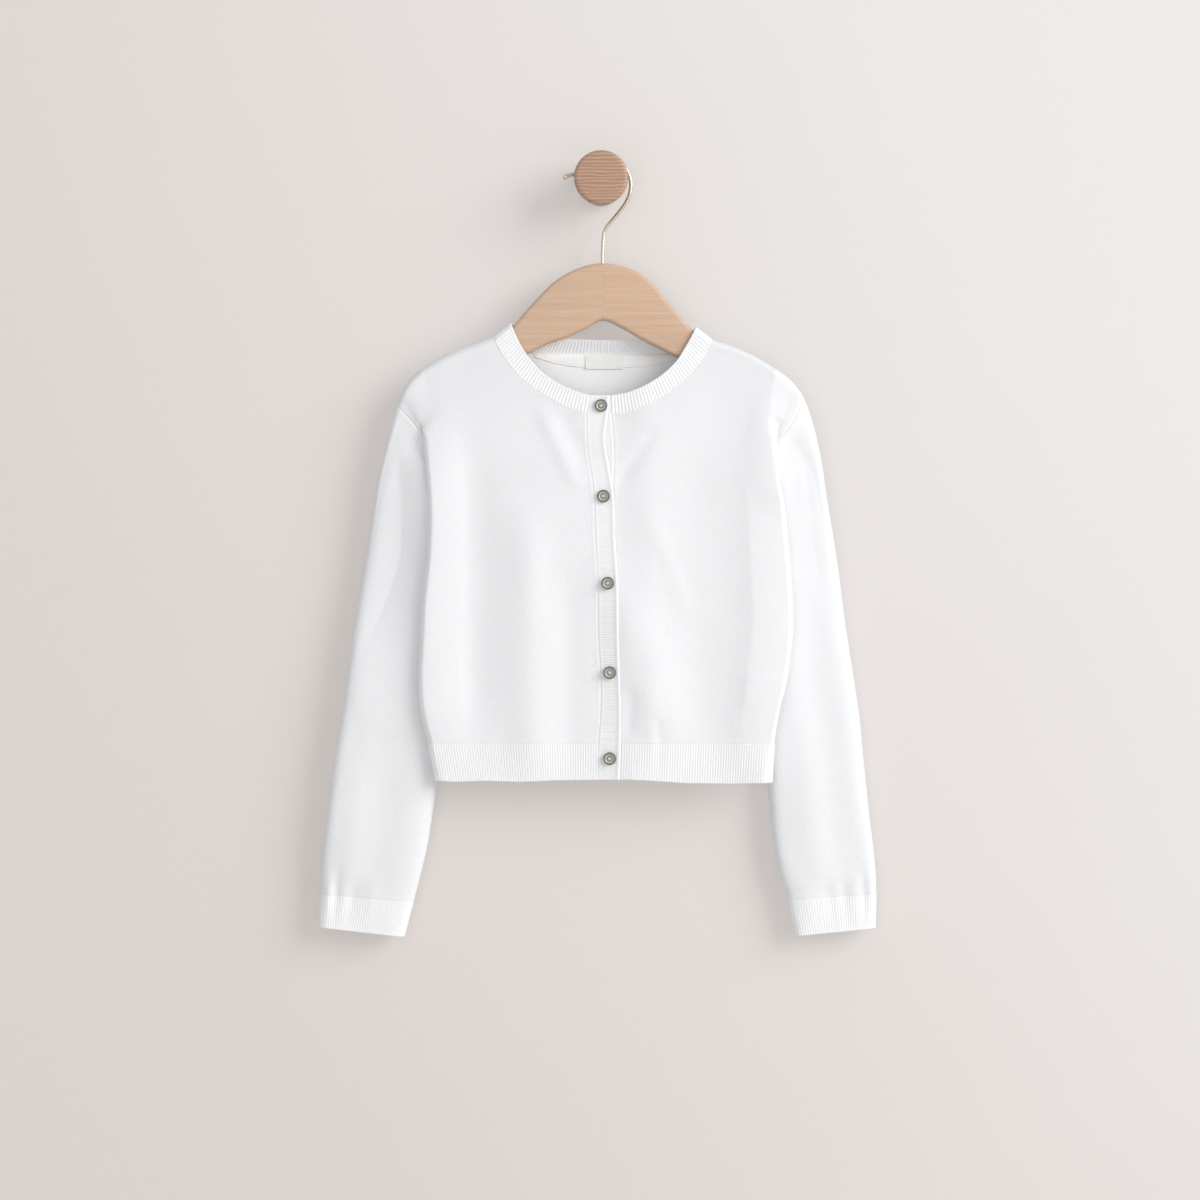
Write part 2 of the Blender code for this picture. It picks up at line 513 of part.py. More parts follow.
def front_guides(side, rows):
    """For each row: the inner edge, the knee, the fold and the seam."""
    lines = LINES[side]
    inner = split_rows(rows, lines["neck"], below(lines["band_seam"], 0), NECK_ROW)
    knee = split_rows(rows, above(lines["knee"], UNDERARM_Z), below(lines["knee"], UNDERARM_Z))
    fold = split_rows(rows, above(lines["fold"], UNDERARM_Z), below(lines["fold"], UNDERARM_Z))
    seam = split_rows(rows, lines["armhole_front"], below(lines["side_seam"], UNDERARM_Z))
    return inner, knee, fold, seam


def with_depth(side, flat):
    """Turns places x, z of the front into x, y, z."""
    x, z = flat[..., 0], flat[..., 1]
    y = front_depth(x, z)
    if side == "right":
        y = y + lap_depth(x, z)
    return np.stack([x, y, z], axis=-1)


def front_grid(side, rows=ROWS, columns=FRONT_COLUMNS, folds=FOLD_COLUMNS):
    """Middle of a front panel, rows from the shoulder to the hem rib, columns from the centre to the seam."""
    inner, knee, fold, seam = front_guides(side, rows)
    top = along(LINES[side]["shoulder"], columns)
    bottom = inner[-1] + (knee[-1] - inner[-1]) * np.asarray(columns)[:, None]
    layer = with_depth(side, patch(inner, knee, top, bottom, rows, columns))
    turned = fold_curve(layer[:, -1], fold, seam, folds)
    grid = np.concatenate([layer, turned], axis=1)
    ridge = grid[0].copy()
    ridge[: len(columns), 1] = HANGER_PLANE
    ridge[len(columns) :, 1] = HANGER_PLANE + (SHOULDER_TIP_Y - HANGER_PLANE) * np.asarray(folds)
    return turn_over(grid, ridge)


def back_edge(side, rows):
    return split_rows(rows, LINES[side]["armhole_back"], below(LINES[side]["side_seam"], UNDERARM_Z))


def back_grid(rows=ROWS, shoulder=SHOULDER_COLUMNS, neck=BACK_NECK_COLUMNS):
    """Middle of the back panel, rows from the top down, columns from the left seam to the right."""
    tops = []
    for side in ("left", "right"):
        line = np.vstack([LINES[side]["shoulder"], LINES[side]["shoulder_end"][1:]])
        flat = along(line[::-1], shoulder)
        y = SHOULDER_TIP_Y + (HANGER_PLANE - SHOULDER_TIP_Y) * np.asarray(shoulder)
        tops.append(np.stack([flat[:, 0], y, flat[:, 1]], axis=-1))
    top = np.vstack([tops[0], along(smooth_line(BACK_NECK_SEAM), list(neck) + [1.0]), tops[1][::-1]])
    left, right = back_edge("left", rows), back_edge("right", rows)
    columns = (top[:, 0] - top[0, 0]) / (top[-1, 0] - top[0, 0])
    bottom = left[-1] + (right[-1] - left[-1]) * columns[:, None]
    flat = patch(left[:, [0, 2]], right[:, [0, 2]], top[:, [0, 2]], bottom[:, [0, 2]], rows, columns)
    grid = np.stack([flat[..., 0], np.zeros(flat.shape[:2]), flat[..., 1]], axis=-1)
    set_back_depth(grid, left, right)
    return turn_over(grid, top)


def set_back_depth(grid, left, right):
    """Gives the back its depth, drawn to the depth of the seam at each side."""
    grid[..., 1] = back_depth(grid[..., 0], grid[..., 2])
    for edge, column in ((left, 0), (right, -1)):
        low = ease((BACK_DRAWN_Z - edge[:, 2]) / BACK_DRAWN_IN)
        reach = BACK_DRAWN + (BACK_DRAWN_LOW - BACK_DRAWN) * low
        pull = 1 - ease(np.abs(grid[..., 0] - edge[:, :1]) / reach[:, None])
        miss = edge[:, 1] - grid[:, column, 1]
        grid[..., 1] += pull * miss[:, None]


def hem_height(x):
    return np.interp(x, [row[0] for row in HEM_EDGE], [row[1] for row in HEM_EDGE])


def front_hem_row(side, columns=FRONT_COLUMNS, folds=FOLD_COLUMNS):
    """Lower edge of a front's hem rib."""
    lines = LINES[side]
    ends = [at_height(lines[name], [HEM_LINE_Z])[0] for name in ("band_seam", "knee", "fold", "side_seam")]
    flat = ends[0] + (ends[1] - ends[0]) * np.asarray(columns)[:, None]
    layer = with_depth(side, flat)
    turned = fold_curve(layer[-1:], ends[2][None], ends[3][None], folds)[0]
    row = np.vstack([layer, turned])
    row[:, 2] = hem_height(row[:, 0])
    return row


def back_hem_row(top_row):
    """Lower edge of the back's hem rib, below the panel's last row."""
    left = at_height(LINES["left"]["side_seam"], [HEM_LINE_Z])
    right = at_height(LINES["right"]["side_seam"], [HEM_LINE_Z])
    share = (top_row[:, :1] - top_row[0, 0]) / (top_row[-1, 0] - top_row[0, 0])
    row = left + (right - left) * share
    set_back_depth(row[None], left, right)
    row[:, 2] = hem_height(row[:, 0])
    return row


# ---------------------------------------------------------------- sleeves

def tube_section(outer, inner, half, shares, face):
    """Places of a flat tube from its outer to its inner fold, on its front (-1) or back (1) face."""
    f = np.asarray(shares, float)[:, None]
    belly = np.sqrt(1 - np.abs(1 - 2 * f) ** SQUARENESS)
    return outer + (inner - outer) * f + np.array([0.0, 1.0, 0.0]) * (face * half) * belly


def sleeve_ends(side, v):
    """Outer and inner fold of the sleeve at share v of its length, x, y, z."""
    outer = along(LINES[side]["sleeve_outer"], [v + OUTER_LEAD * v * (1 - v)])[0]
    inner = along(LINES[side]["sleeve_inner"], [v])[0]
    outer_y = SLEEVE_Y + (SHOULDER_TIP_Y - SLEEVE_Y) * (1 - ease(v / SETTLE_TIP))
    rights = CUFF_RIGHTS * ease((v - RIGHTS_FROM) / (1 - RIGHTS_FROM))
    outer_y += SLEEVE_LEANS[side] * ease((v - LEANS_FROM) / LEANS_IN) * (1 - rights)
    inner_y = SLEEVE_Y + (LINES[side]["side_seam"][0, 1] - SLEEVE_Y) * (1 - ease(v / SETTLE_UNDERARM))
    return np.array([outer[0], outer_y, outer[1]]), np.array([inner[0], inner_y, inner[1]])


def sleeve_relief(side, shares, v, face):
    """Gathers and long creases of the sleeve, outwards."""
    f = np.asarray(shares, float)
    total = np.zeros(len(f))
    for middle, height, reach in SLEEVE_GATHERS[side]:
        total += height * ease((v - 1 + reach) / reach) * np.exp(-(((f - middle) / GATHER_WIDTH) ** 2))
    for middle, height, start, end in SLEEVE_FOLDS[side]:
        ends = ease((v - start) / SLEEVE_FOLD_FADE + 0.5) * ease((end - v) / SLEEVE_FOLD_FADE + 0.5)
        total += height * ends * np.exp(-(((f - middle) / SLEEVE_FOLD_WIDTH) ** 2))
    return total if face < 0 else BACK_RELIEF * total[::-1]


def meet_body(side, places):
    """How far the front of a sleeve comes forward towards the side fold of the body."""
    fold = at_height(LINES[side]["fold"], places[:, 2])[:, 0]
    out = (fold - places[:, 0]) * (1 if side == "left" else -1)
    low = ease((MEET_WIDENS_Z - places[:, 2]) / MEET_WIDENS_IN)
    width = MEET_WIDTH + (MEET_WIDTH_LOW - MEET_WIDTH) * low
    ramp = np.clip(1 - out / width, 0, 1) * ease(1 + out / MEET_UNDER)
    top, bottom = MEET_ENDS
    ends = ease((top - places[:, 2]) / 25) * ease((places[:, 2] - bottom) / 110)
    upper, lower = MEET_HEIGHT[side]
    return (upper + (lower - upper) * low) * ramp * ends


def sleeve_grid(side, front, back, rings=SLEEVE_RINGS):
    """Middle of a sleeve. front and back are the panels' armhole edges, from the tip to the underarm."""
    lengths = np.concatenate([[0], np.cumsum(np.linalg.norm(np.diff(front, axis=0), axis=1))])
    shares = lengths / lengths[-1]
    start = [np.array(edge) for edge in sleeve_ends(side, 0)]
    grid = []
    settle = SETTLE_SIDE + (SETTLE_TIP - SETTLE_SIDE) * (1 - ease(shares / SHARE_SHOULDER))
    settle -= (SETTLE_SIDE - SETTLE_UNDERARM) * ease(shares / SHARE_SHOULDER - 1)
    for v in rings:
        outer, inner = sleeve_ends(side, v)
        half = SLEEVE_HALF + (CUFF_HALF - SLEEVE_HALF) * ease((v - NARROWS_FROM) / (1 - NARROWS_FROM))
        slide = SLEEVE_SLIDE * (1 - (1 - min(1, v / SLIDE_END)) ** 2)
        slid = shares - slide * shares * (1 - shares)
        faces = []
        for edge, face in ((front, -1), (back, 1)):
            miss = edge - tube_section(*start, SLEEVE_HALF, shares, face)
            section = tube_section(outer, inner, half, slid, face)
            section[:, [0, 2]] += miss[:, [0, 2]] * max(0, 1 - v / SETTLE_TIP) ** 2
            section[:, 1] += miss[:, 1] * (1 - ease(v / settle))
            section[:, 1] += face * sleeve_relief(side, shares, v, face)
            if face < 0:
                section[:, 1] -= meet_body(side, section) * ease(v / MEET_FROM)
            faces.append(section)
        grid.append(np.vstack([faces[0], faces[1][-2:0:-1]]))
    return np.array(grid), slid


def cuff_bottom(side, shares):
    table = SIDES[side]
    outer_y = SLEEVE_Y + SLEEVE_LEANS[side] * (1 - CUFF_RIGHTS)
    outer = np.array([table["cuff_outer"][0], outer_y, table["cuff_outer"][1]])
    inner = np.array([table["cuff_inner"][0], SLEEVE_Y, table["cuff_inner"][1]])
    front = tube_section(outer, inner, CUFF_HALF, shares, -1)
    back = tube_section(outer, inner, CUFF_HALF, shares, 1)
    return np.vstack([front, back[-2:0:-1]])


# ---------------------------------------------------------------- neckband and bands

def neck_edge_places(side, rows):
    """Free edge of the neckband in front, for the rows of the neck, from the side of the neck to the band."""
    flat = along(LINES[side]["neck_edge"], np.asarray(rows) / NECK_ROW)
    places = with_depth(side, flat)
    ridge = np.array([flat[0, 0], HANGER_PLANE, flat[0, 1]])
    return turn_over(places, np.broadcast_to(ridge, places.shape))


def neckband_grid(fronts, back, first, last):
    """Two rows: the seam to the fronts and the back, and the free edge. Columns run from band to band."""
    neck_rows = [row for row in ROWS if row <= NECK_ROW]
    count = len(neck_rows)
    seam = [fronts["left"][:count, 0][::-1], back[0, first + 1 : last], fronts["right"][:count, 0]]
    share = np.linalg.norm(np.diff(back[0, first : last + 1], axis=0), axis=1).cumsum()
    middle = along(smooth_line(BACK_NECK_EDGE), share[:-1] / share[-1])
    edge = [neck_edge_places("left", neck_rows)[::-1], middle, neck_edge_places("right", neck_rows)]
    return np.array([np.vstack(seam), np.vstack(edge)])


def band_grids(neckband, fronts, hems):
    """Top band and under band, two long edges each, from the neck to the hem."""
    first_row = ROWS.index(NECK_ROW)
    left = np.vstack([neckband[1, :1], fronts["left"][first_row:, 0], hems["left"][1, :1]])
    right = np.vstack([neckband[1, -1:], fronts["right"][first_row:, 0], hems["right"][1, :1]])
    top_edge = at_height(BAND_EDGE_LINE, left[:, 2])
    top_edge[:, 1] = left[:, 2]
    far = np.stack([top_edge[:, 0], front_depth(top_edge[:, 0], top_edge[:, 1]), top_edge[:, 1]], axis=-1)
    hidden = right - [UNDER_BAND_WIDTH, 0, 0]
    hidden[:, 1] = front_depth(hidden[:, 0], hidden[:, 2]) + BAND_LAP
    return np.array([left, far]), np.array([hidden, right])


# ---------------------------------------------------------------- walls

def normals_of(grid, around=False, flip=False):
    """Unit normals of a grid of places, from its neighbours along and across."""
    down = np.gradient(grid, axis=0)
    if around:
        across = (np.roll(grid, -1, axis=1) - np.roll(grid, 1, axis=1)) / 2
    else:
        across = np.gradient(grid, axis=1)
    normals = unit(np.cross(down, across))
    return -normals if flip else normals


def share_normals(pieces):
    """Gives pieces that meet at a seam the same normal at each place they share."""
    sums = {}
    for piece in pieces:
        for place, normal in zip(piece["grid"].reshape(-1, 3), piece["normals"].reshape(-1, 3)):
            key = tuple(np.round(place, 2))
            sums[key] = sums.get(key, 0) + normal
    for piece in pieces:
        piece["own_normals"] = piece["normals"]
        shape = piece["grid"].shape
        shared = [sums[tuple(np.round(place, 2))] for place in piece["grid"].reshape(-1, 3)]
        piece["normals"] = unit(np.array(shared)).reshape(shape)


def inset_edge(grid, normals, axis, index, amount):
    """Moves one edge of a grid inwards along its wall, square to the edge."""
    edge = np.take(grid, index, axis=axis)
    inside = np.take(grid, 1 if index == 0 else -2, axis=axis)
    normal = np.take(normals, index, axis=axis)
    inwards = unit(np.cross(normal, np.gradient(edge, axis=0)))
    turn = np.sign(np.sum(inwards * (inside - edge), axis=-1, keepdims=True))
    return inwards * turn * amount


def with_seam_gaps(piece):
    """The piece's grid, drawn back by half a seam gap at each sewn edge."""
    moved = piece["grid"].copy()
    bend = 1 - np.sum(piece["own_normals"] * piece["normals"], axis=-1, keepdims=True)
    for name in piece["seams"]:
        axis, index = {"top": (0, 0), "bottom": (0, -1), "first": (1, 0), "last": (1, -1)}[name]
        amount = SEAM_GAP / 2 + CORNER_GAP * np.take(bend, index, axis=axis)
        shift = inset_edge(piece["grid"], piece["normals"], axis, index, amount)
        if axis == 0:
            moved[index] += shift
        else:
            moved[:, index] += shift
    return moved


def ribbed(grid, normals, pitch, around, both_faces=False, plain_below=None):
    """Outer and inner places of a ribbed wall, and the outer column at which each inner column sits.

    A stretch that starts lower than plain_below has no ribs.
    """
    count = grid.shape[1]
    segments = count if around else count - 1
    outer, second, matches = [], [], [0]
    for k in range(segments):
        start, end = grid[:, k], grid[:, (k + 1) % count]
        n0, n1 = normals[:, k], normals[:, (k + 1) % count]
        steps = 2 * max(1, round(float(np.linalg.norm(end - start, axis=1).mean()) / pitch))
        if plain_below is not None and start[0, 2] < plain_below:
            steps = 1
        for step in range(steps):
            u = step / steps
            place, normal = start + (end - start) * u, unit(n0 + (n1 - n0) * u)
            rise = RIB_RIDGE if step % 2 else RIB_VALLEY
            outer.append(place + normal * rise)
            second.append(place + normal * (rise - CLOTH))
        matches.append(len(outer))
    if not around:
        outer.append(grid[:, -1] + normals[:, -1] * RIB_VALLEY)
        second.append(grid[:, -1] + normals[:, -1] * (RIB_VALLEY - CLOTH))
    outer = np.stack(outer, axis=1)
    if both_faces:
        return outer, np.stack(second, axis=1), list(range(outer.shape[1] + (1 if around else 0)))
    inner = grid - normals * CLOTH / 2
    return outer, inner, matches


def wall_faces(rows, outer_count, inner_count, matches, around):
    """Faces of a closed wall. Outer places come first, row by row, then the inner ones."""
    faces = []
    offset = rows * outer_count

    def outer(row, column):
        return row * outer_count + column % outer_count

    def inner(row, column):
        return offset + row * inner_count + column % inner_count

    outer_cells = outer_count if around else outer_count - 1
    inner_cells = inner_count if around else inner_count - 1
    for row in range(rows - 1):
        for c in range(outer_cells):
            faces.append((outer(row, c), outer(row, c + 1), outer(row + 1, c + 1), outer(row + 1, c)))
        for c in range(inner_cells):
            faces.append((inner(row, c), inner(row + 1, c), inner(row + 1, c + 1), inner(row, c + 1)))
    for row in (0, rows - 1):
        for c in range(inner_cells):
            middle = (matches[c] + matches[c + 1]) // 2
            fan = [(outer(row, k), inner(row, c), outer(row, k + 1)) for k in range(matches[c], middle)]
            fan.append((outer(row, middle), inner(row, c), inner(row, c + 1)))
            rest = range(middle, matches[c + 1])
            fan += [(outer(row, k), inner(row, c + 1), outer(row, k + 1)) for k in rest]
            faces += [face if row == 0 else face[::-1] for face in fan]
    if not around:
        for row in range(rows - 1):
            faces.append((outer(row, 0), outer(row + 1, 0), inner(row + 1, 0), inner(row, 0)))
            o, i = outer_count - 1, inner_count - 1
            faces.append((outer(row, o), inner(row, i), inner(row + 1, i), outer(row + 1, o)))
    return faces


# ---------------------------------------------------------------- objects

def new_collection(name):
    collection = bpy.data.collections.new(name)
    bpy.context.scene.collection.children.link(collection)
    return collection


def surface(name, finish):
    """A material from its kind, linear colour, roughness and metallic value."""
    kind, colour, roughness, metallic = finish
    material = bpy.data.materials.new(f"{name} {kind}")
    material.use_nodes = True
    shader = material.node_tree.nodes["Principled BSDF"]
    shader.inputs["Base Color"].default_value = (*colour, 1.0)
    shader.inputs["Roughness"].default_value = roughness
    shader.inputs["Metallic"].default_value = metallic
    material.diffuse_color = (*colour, 1.0)
    return material


def mesh_object(name, points, faces, collection, finish, sharp=35.0):
    """A smooth-shaded mesh object from places in millimetres."""
    mesh = bpy.data.meshes.new(name)
    mesh.from_pydata((np.asarray(points) * MM).tolist(), [], faces)
    work = bmesh.new()
    work.from_mesh(mesh)
    bmesh.ops.recalc_face_normals(work, faces=work.faces)
    work.to_mesh(mesh)
    work.free()
    mesh.shade_smooth()
    mesh.set_sharp_from_angle(angle=math.radians(sharp))
    mesh.materials.append(surface(name, finish))
    obj = bpy.data.objects.new(name, mesh)
    collection.objects.link(obj)
    return obj


def plain_wall(name, grid, normals, half, around, collection, finish):
    """A wall of even thickness on both sides of a grid."""
    rows, columns = grid.shape[:2]
    points = np.vstack([(grid + normals * half).reshape(-1, 3), (grid - normals * half).reshape(-1, 3)])
    matches = list(range(columns + (1 if around else 0)))
    return mesh_object(name, points, wall_faces(rows, columns, columns, matches, around), collection, finish)


def turned(name, profile, steps, collection, finish):
    """A turned piece round Y, whose profile gives radius and distance towards the viewer."""
    mesh = bpy.data.meshes.new(name)
    places = [(radius * MM, 0.0, height * MM) for radius, height in profile]
    mesh.from_pydata(places, [(i, i + 1) for i in range(len(places) - 1)], [])
    obj = bpy.data.objects.new(name, mesh)
    collection.objects.link(obj)
    screw = obj.modifiers.new("turn", "SCREW")
    screw.steps = screw.render_steps = steps
    screw.use_merge_vertices = True
    screw.merge_threshold = 0.00001
    screw.use_smooth_shade = True
    mesh.materials.append(surface(name, finish))
    obj.rotation_euler = (math.radians(90), 0, 0)
    return obj


def real_mesh(obj, collection):
    """Replaces a curve object by a mesh of the same shape, with its caps welded."""
    graph = bpy.context.evaluated_depsgraph_get()
    mesh = bpy.data.meshes.new_from_object(obj.evaluated_get(graph))
    work = bmesh.new()
    work.from_mesh(mesh)
    bmesh.ops.remove_doubles(work, verts=work.verts, dist=1e-6)
    bmesh.ops.recalc_face_normals(work, faces=work.faces)
    work.to_mesh(mesh)
    work.free()
    name, matrix = obj.name, obj.matrix_world.copy()
    bpy.data.objects.remove(obj)
    made = bpy.data.objects.new(name, mesh)
    made.matrix_world = matrix
    collection.objects.link(made)
    return made


def build_hanger(collection, cutters, finish):
    """A flat wooden bar cut to the hanger's outline, with rounded edges and a hole for the hook."""
    curve = bpy.data.curves.new("hanger", "CURVE")
    curve.dimensions = "2D"
    curve.fill_mode = "BOTH"
    curve.extrude = (HANGER_THICK / 2 - HANGER_ROUND) * MM
    curve.bevel_depth = HANGER_ROUND * MM
    curve.bevel_resolution = 1
    curve.offset = -HANGER_ROUND * MM
    spline = curve.splines.new("POLY")
    outline = HANGER_TOP + HANGER_BOTTOM
    spline.points.add(len(outline) - 1)
    for point, (x, z) in zip(spline.points, outline):
        point.co = (x * MM, z * MM, 0.0, 1.0)
    spline.use_cyclic_u = True
    bar = bpy.data.objects.new("hanger", curve)
    bar.rotation_euler = (math.radians(90), 0, 0)
    bar.location = (0, HANGER_PLANE * MM, 0)
    collection.objects.link(bar)
    bpy.context.view_layer.update()
    bar = real_mesh(bar, collection)
    bar.data.materials.append(surface("hanger", finish))
    cut = bar.modifiers.new("hook hole", "BOOLEAN")
    cut.operation = "DIFFERENCE"
    cut.object = hook_hole(cutters)
    return bar


def hook_hole(cutters):
    """The cutter for the hole that the hook's shank stands in, at the hanger's highest point."""
    hole_x, hole_z = HOOK_ROUTE[-1][0], max(z for x, z in HANGER_TOP)
    bpy.ops.mesh.primitive_cylinder_add(
        vertices=12,
        radius=HOOK_HOLE_RADIUS * MM,
        depth=2 * HOOK_HOLE_DEPTH * MM,
        location=(hole_x * MM, HANGER_PLANE * MM, hole_z * MM),
    )
    hole = bpy.context.object
    hole.name = "hook_hole"
    for collection in list(hole.users_collection):
        collection.objects.unlink(hole)
    cutters.objects.link(hole)
    hole.hide_render = True
    hole.display_type = "WIRE"
    return hole


def build_hook(collection, finish):
    """Bent wire with a rounded tip."""
    curve = bpy.data.curves.new("hook", "CURVE")
    curve.dimensions = "3D"
    curve.bevel_depth = HOOK_RADIUS * MM
    curve.bevel_resolution = 2
    curve.use_fill_caps = True
    spline = curve.splines.new("POLY")
    spline.points.add(len(HOOK_ROUTE) - 1)
    for number, (x, z) in enumerate(HOOK_ROUTE):
        spline.points[number].co = (x * MM, HANGER_PLANE * MM, z * MM, 1.0)
        if number < len(HOOK_TIP_SWELL):
            spline.points[number].radius = HOOK_TIP_SWELL[number]
    curve.materials.append(surface("hook", finish))
    hook = bpy.data.objects.new("hook", curve)
    collection.objects.link(hook)
    return hook


def on_back(back, grid, lift, thick, name, collection, finish):
    """A strip of even thickness that lies on the inner face of the back, lifted off it."""
    for row in grid:
        row[:, 1] = back_surface_y(back, row) - (CLOTH / 2 + SEAM_GAP + lift + thick / 2)
    inwards = np.broadcast_to(np.array([0.0, -1.0, 0.0]), grid.shape)
    plain_wall(name, grid, inwards, thick / 2, False, collection, finish)


def build_neck_tape(back, collection, finish):
    """A strip inside the back, just below the neck seam."""
    seam = smooth_line(BACK_NECK_SEAM)
    xs = np.linspace(TAPE_EDGE[0][0], TAPE_EDGE[-1][0], TAPE_COLUMNS)
    upper = np.interp(xs, seam[:, 0], seam[:, 2]) - TAPE_BELOW_SEAM
    lower = np.interp(xs, TAPE_EDGE_LINE[:, 0], TAPE_EDGE_LINE[:, 1])
    rows = [upper + (lower - upper) * share for share in (0.0, 0.5, 1.0)]
    grid = np.array([np.stack([xs, np.zeros(len(xs)), row], axis=-1) for row in rows])
    on_back(back, grid, TAPE_LIFT, TAPE_THICK, "neck_tape", collection, finish)


def back_surface_y(back, places):
    """Depth of the back panel's middle at places near its top, read along the columns of its grid."""
    depths = []
    for x, _, z in places:
        column = [np.interp(x, back[row, :, 0], back[row, :, 2]) for row in range(len(ROWS))]
        depth = [np.interp(x, back[row, :, 0], back[row, :, 1]) for row in range(len(ROWS))]
        depths.append(np.interp(-z, -np.array(column), depth))
    return np.array(depths)


def build_label(back, collection, finish):
    """A bare label on the tape."""
    xs = np.linspace(LABEL_LEFT, LABEL_RIGHT, 5)
    grid = np.array([[(x, 0.0, z) for x in xs] for z in np.linspace(LABEL_TOP, LABEL_BOTTOM, 3)])
    lift = TAPE_LIFT + TAPE_THICK + LABEL_LIFT
    on_back(back, grid, lift, LABEL_THICK, "neck_label", collection, finish)


def button_depth(x, z):
    """Y of a button's back face, which rests on the most forward of the band under it."""
    across = x + np.array([-BUTTON_RADIUS, 0.0, BUTTON_RADIUS])
    return float(front_depth(across, z).min()) - RIB_RIDGE - SEAM_GAP


def build_buttons(collection, finish):
    for number, (x, z) in enumerate(BUTTONS, 1):
        button = turned(f"button_{number}", BUTTON_PROFILE, BUTTON_STEPS, collection, finish)
        button.location = (x * MM, button_depth(x, z) * MM, z * MM)


def build_cloth(collection):
    """Grids of every knitted piece, their shared normals, and the walls."""
    fronts = {side: front_grid(side) for side in ("left", "right")}
    back = back_grid()
    underarm = ROWS.index(UNDERARM_ROW)
    first = len(SHOULDER_COLUMNS)
    last = first + len(BACK_NECK_COLUMNS)
    sleeves, cuffs = {}, {}
    for side, column in (("left", 0), ("right", -1)):
        edges = fronts[side][: underarm + 1, -1], back[: underarm + 1, column]
        sleeves[side], shares = sleeve_grid(side, *edges)
        sleeves[side][0, underarm] += SLEEVE_CORNER_SHIFT
        sleeves[side][0, 0] += SLEEVE_TIP_SHIFT[side]
        cuffs[side] = np.array([sleeves[side][-1], cuff_bottom(side, shares)])
    hems = {side: np.array([fronts[side][-1], front_hem_row(side)]) for side in fronts}
    hems["back"] = np.array([back[-1], back_hem_row(back[-1])])
    neckband = neckband_grid(fronts, back, first, last)
    band_top, band_under = band_grids(neckband, fronts, hems)

    pieces = []

    def add(name, grid, seams, flip=False, around=False, pitch=None, **ribs):
        piece = dict(name=name, grid=grid, seams=seams, around=around, pitch=pitch, ribs=ribs)
        piece["normals"] = normals_of(grid, around, flip)
        pieces.append(piece)

    all_round = ("top", "bottom", "first", "last")
    add("front_left", fronts["left"], all_round, flip=True)
    add("front_right", fronts["right"], all_round)
    add("back", back, all_round, flip=True)
    add("sleeve_left", sleeves["left"], ("top", "bottom"), around=True)
    add("sleeve_right", sleeves["right"], ("top", "bottom"), flip=True, around=True)
    add("cuff_left", cuffs["left"], ("top",), around=True, pitch=FINE_RIB)
    add("cuff_right", cuffs["right"], ("top",), flip=True, around=True, pitch=FINE_RIB)
    add("hem_left", hems["left"], ("top", "first", "last"), flip=True, pitch=FINE_RIB)
    add("hem_right", hems["right"], ("top", "first", "last"), pitch=FINE_RIB)
    add("hem_back", hems["back"], ("top", "first", "last"), flip=True, pitch=FINE_RIB)
    add("neckband", neckband, ("top", "first", "last"), pitch=NECK_RIB, both_faces=True)
    add("band_top", band_top, ("top",), flip=True, pitch=BAND_RIB)
    add("band_under", band_under, ("bottom",), flip=True, pitch=BAND_RIB, plain_below=UNDER_BAND_HIDDEN_Z)
    for piece in pieces:
        settle_normals(piece)
    share_normals(pieces)
    for piece in pieces:
        name, normals, around = piece["name"], piece["normals"], piece["around"]
        grid = with_seam_gaps(piece)
        if piece["pitch"]:
            outer, inner, matches = ribbed(grid, normals, piece["pitch"], around, **piece["ribs"])
            points = np.vstack([outer.reshape(-1, 3), inner.reshape(-1, 3)])
            faces = wall_faces(grid.shape[0], outer.shape[1], inner.shape[1], matches, around)
            mesh_object(name, points, faces, collection, RIB_FINISH, sharp=80.0)
        else:
            plain_wall(name, grid, normals, CLOTH / 2, around, collection, KNIT_FINISH)
    return back


def settle_normals(piece):
    """Sets the normals that the neighbours of a place can't give.

    Along a shoulder seam the wall stands square to the ridge, so front and back end face to face. At the
    underarm the sleeve is folded back on itself.
    """
    for side, normal in SLEEVE_CORNER_NORMAL.items():
        if piece["name"] == f"sleeve_{side}":
            piece["normals"][0, ROWS.index(UNDERARM_ROW)] = unit(np.array(normal))
    if piece["name"] in ("front_left", "front_right"):
        piece["normals"][0, :, 1] = 0
        piece["normals"][0] = unit(piece["normals"][0])
    if piece["name"] == "back":
        first, last = len(SHOULDER_COLUMNS), len(SHOULDER_COLUMNS) + len(BACK_NECK_COLUMNS)
        for columns in (slice(0, first + 1), slice(last, None)):
            piece["normals"][0, columns, 1] = 0
            piece["normals"][0, columns] = unit(piece["normals"][0, columns])


def main():
    for obj in list(bpy.data.objects):
        bpy.data.objects.remove(obj)
    parts = new_collection(OBJECT_NAME)
    cutters = new_collection("cutters")
    back = build_cloth(parts)
    build_neck_tape(back, parts, TAPE_FINISH)
    build_label(back, parts, LABEL_FINISH)
    build_buttons(parts, BUTTON_FINISH)
    build_hanger(parts, cutters, BEECH_FINISH)
    build_hook(parts, WIRE_FINISH)
    turned("wall_knob", KNOB_PROFILE, KNOB_STEPS, parts, KNOB_FINISH)


main()
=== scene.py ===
"""Looks of the button cardigan on its hanger and wall hook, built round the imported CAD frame.

The cloth is worked out from the same lines as the CAD, at a finer spacing, with real ribs. Tables are in
millimetres, everything made from them is in metres. The origin is the middle of the knob's back face on the
wall, +X is the viewer's right, +Y goes into the wall and +Z is up.
"""

import math

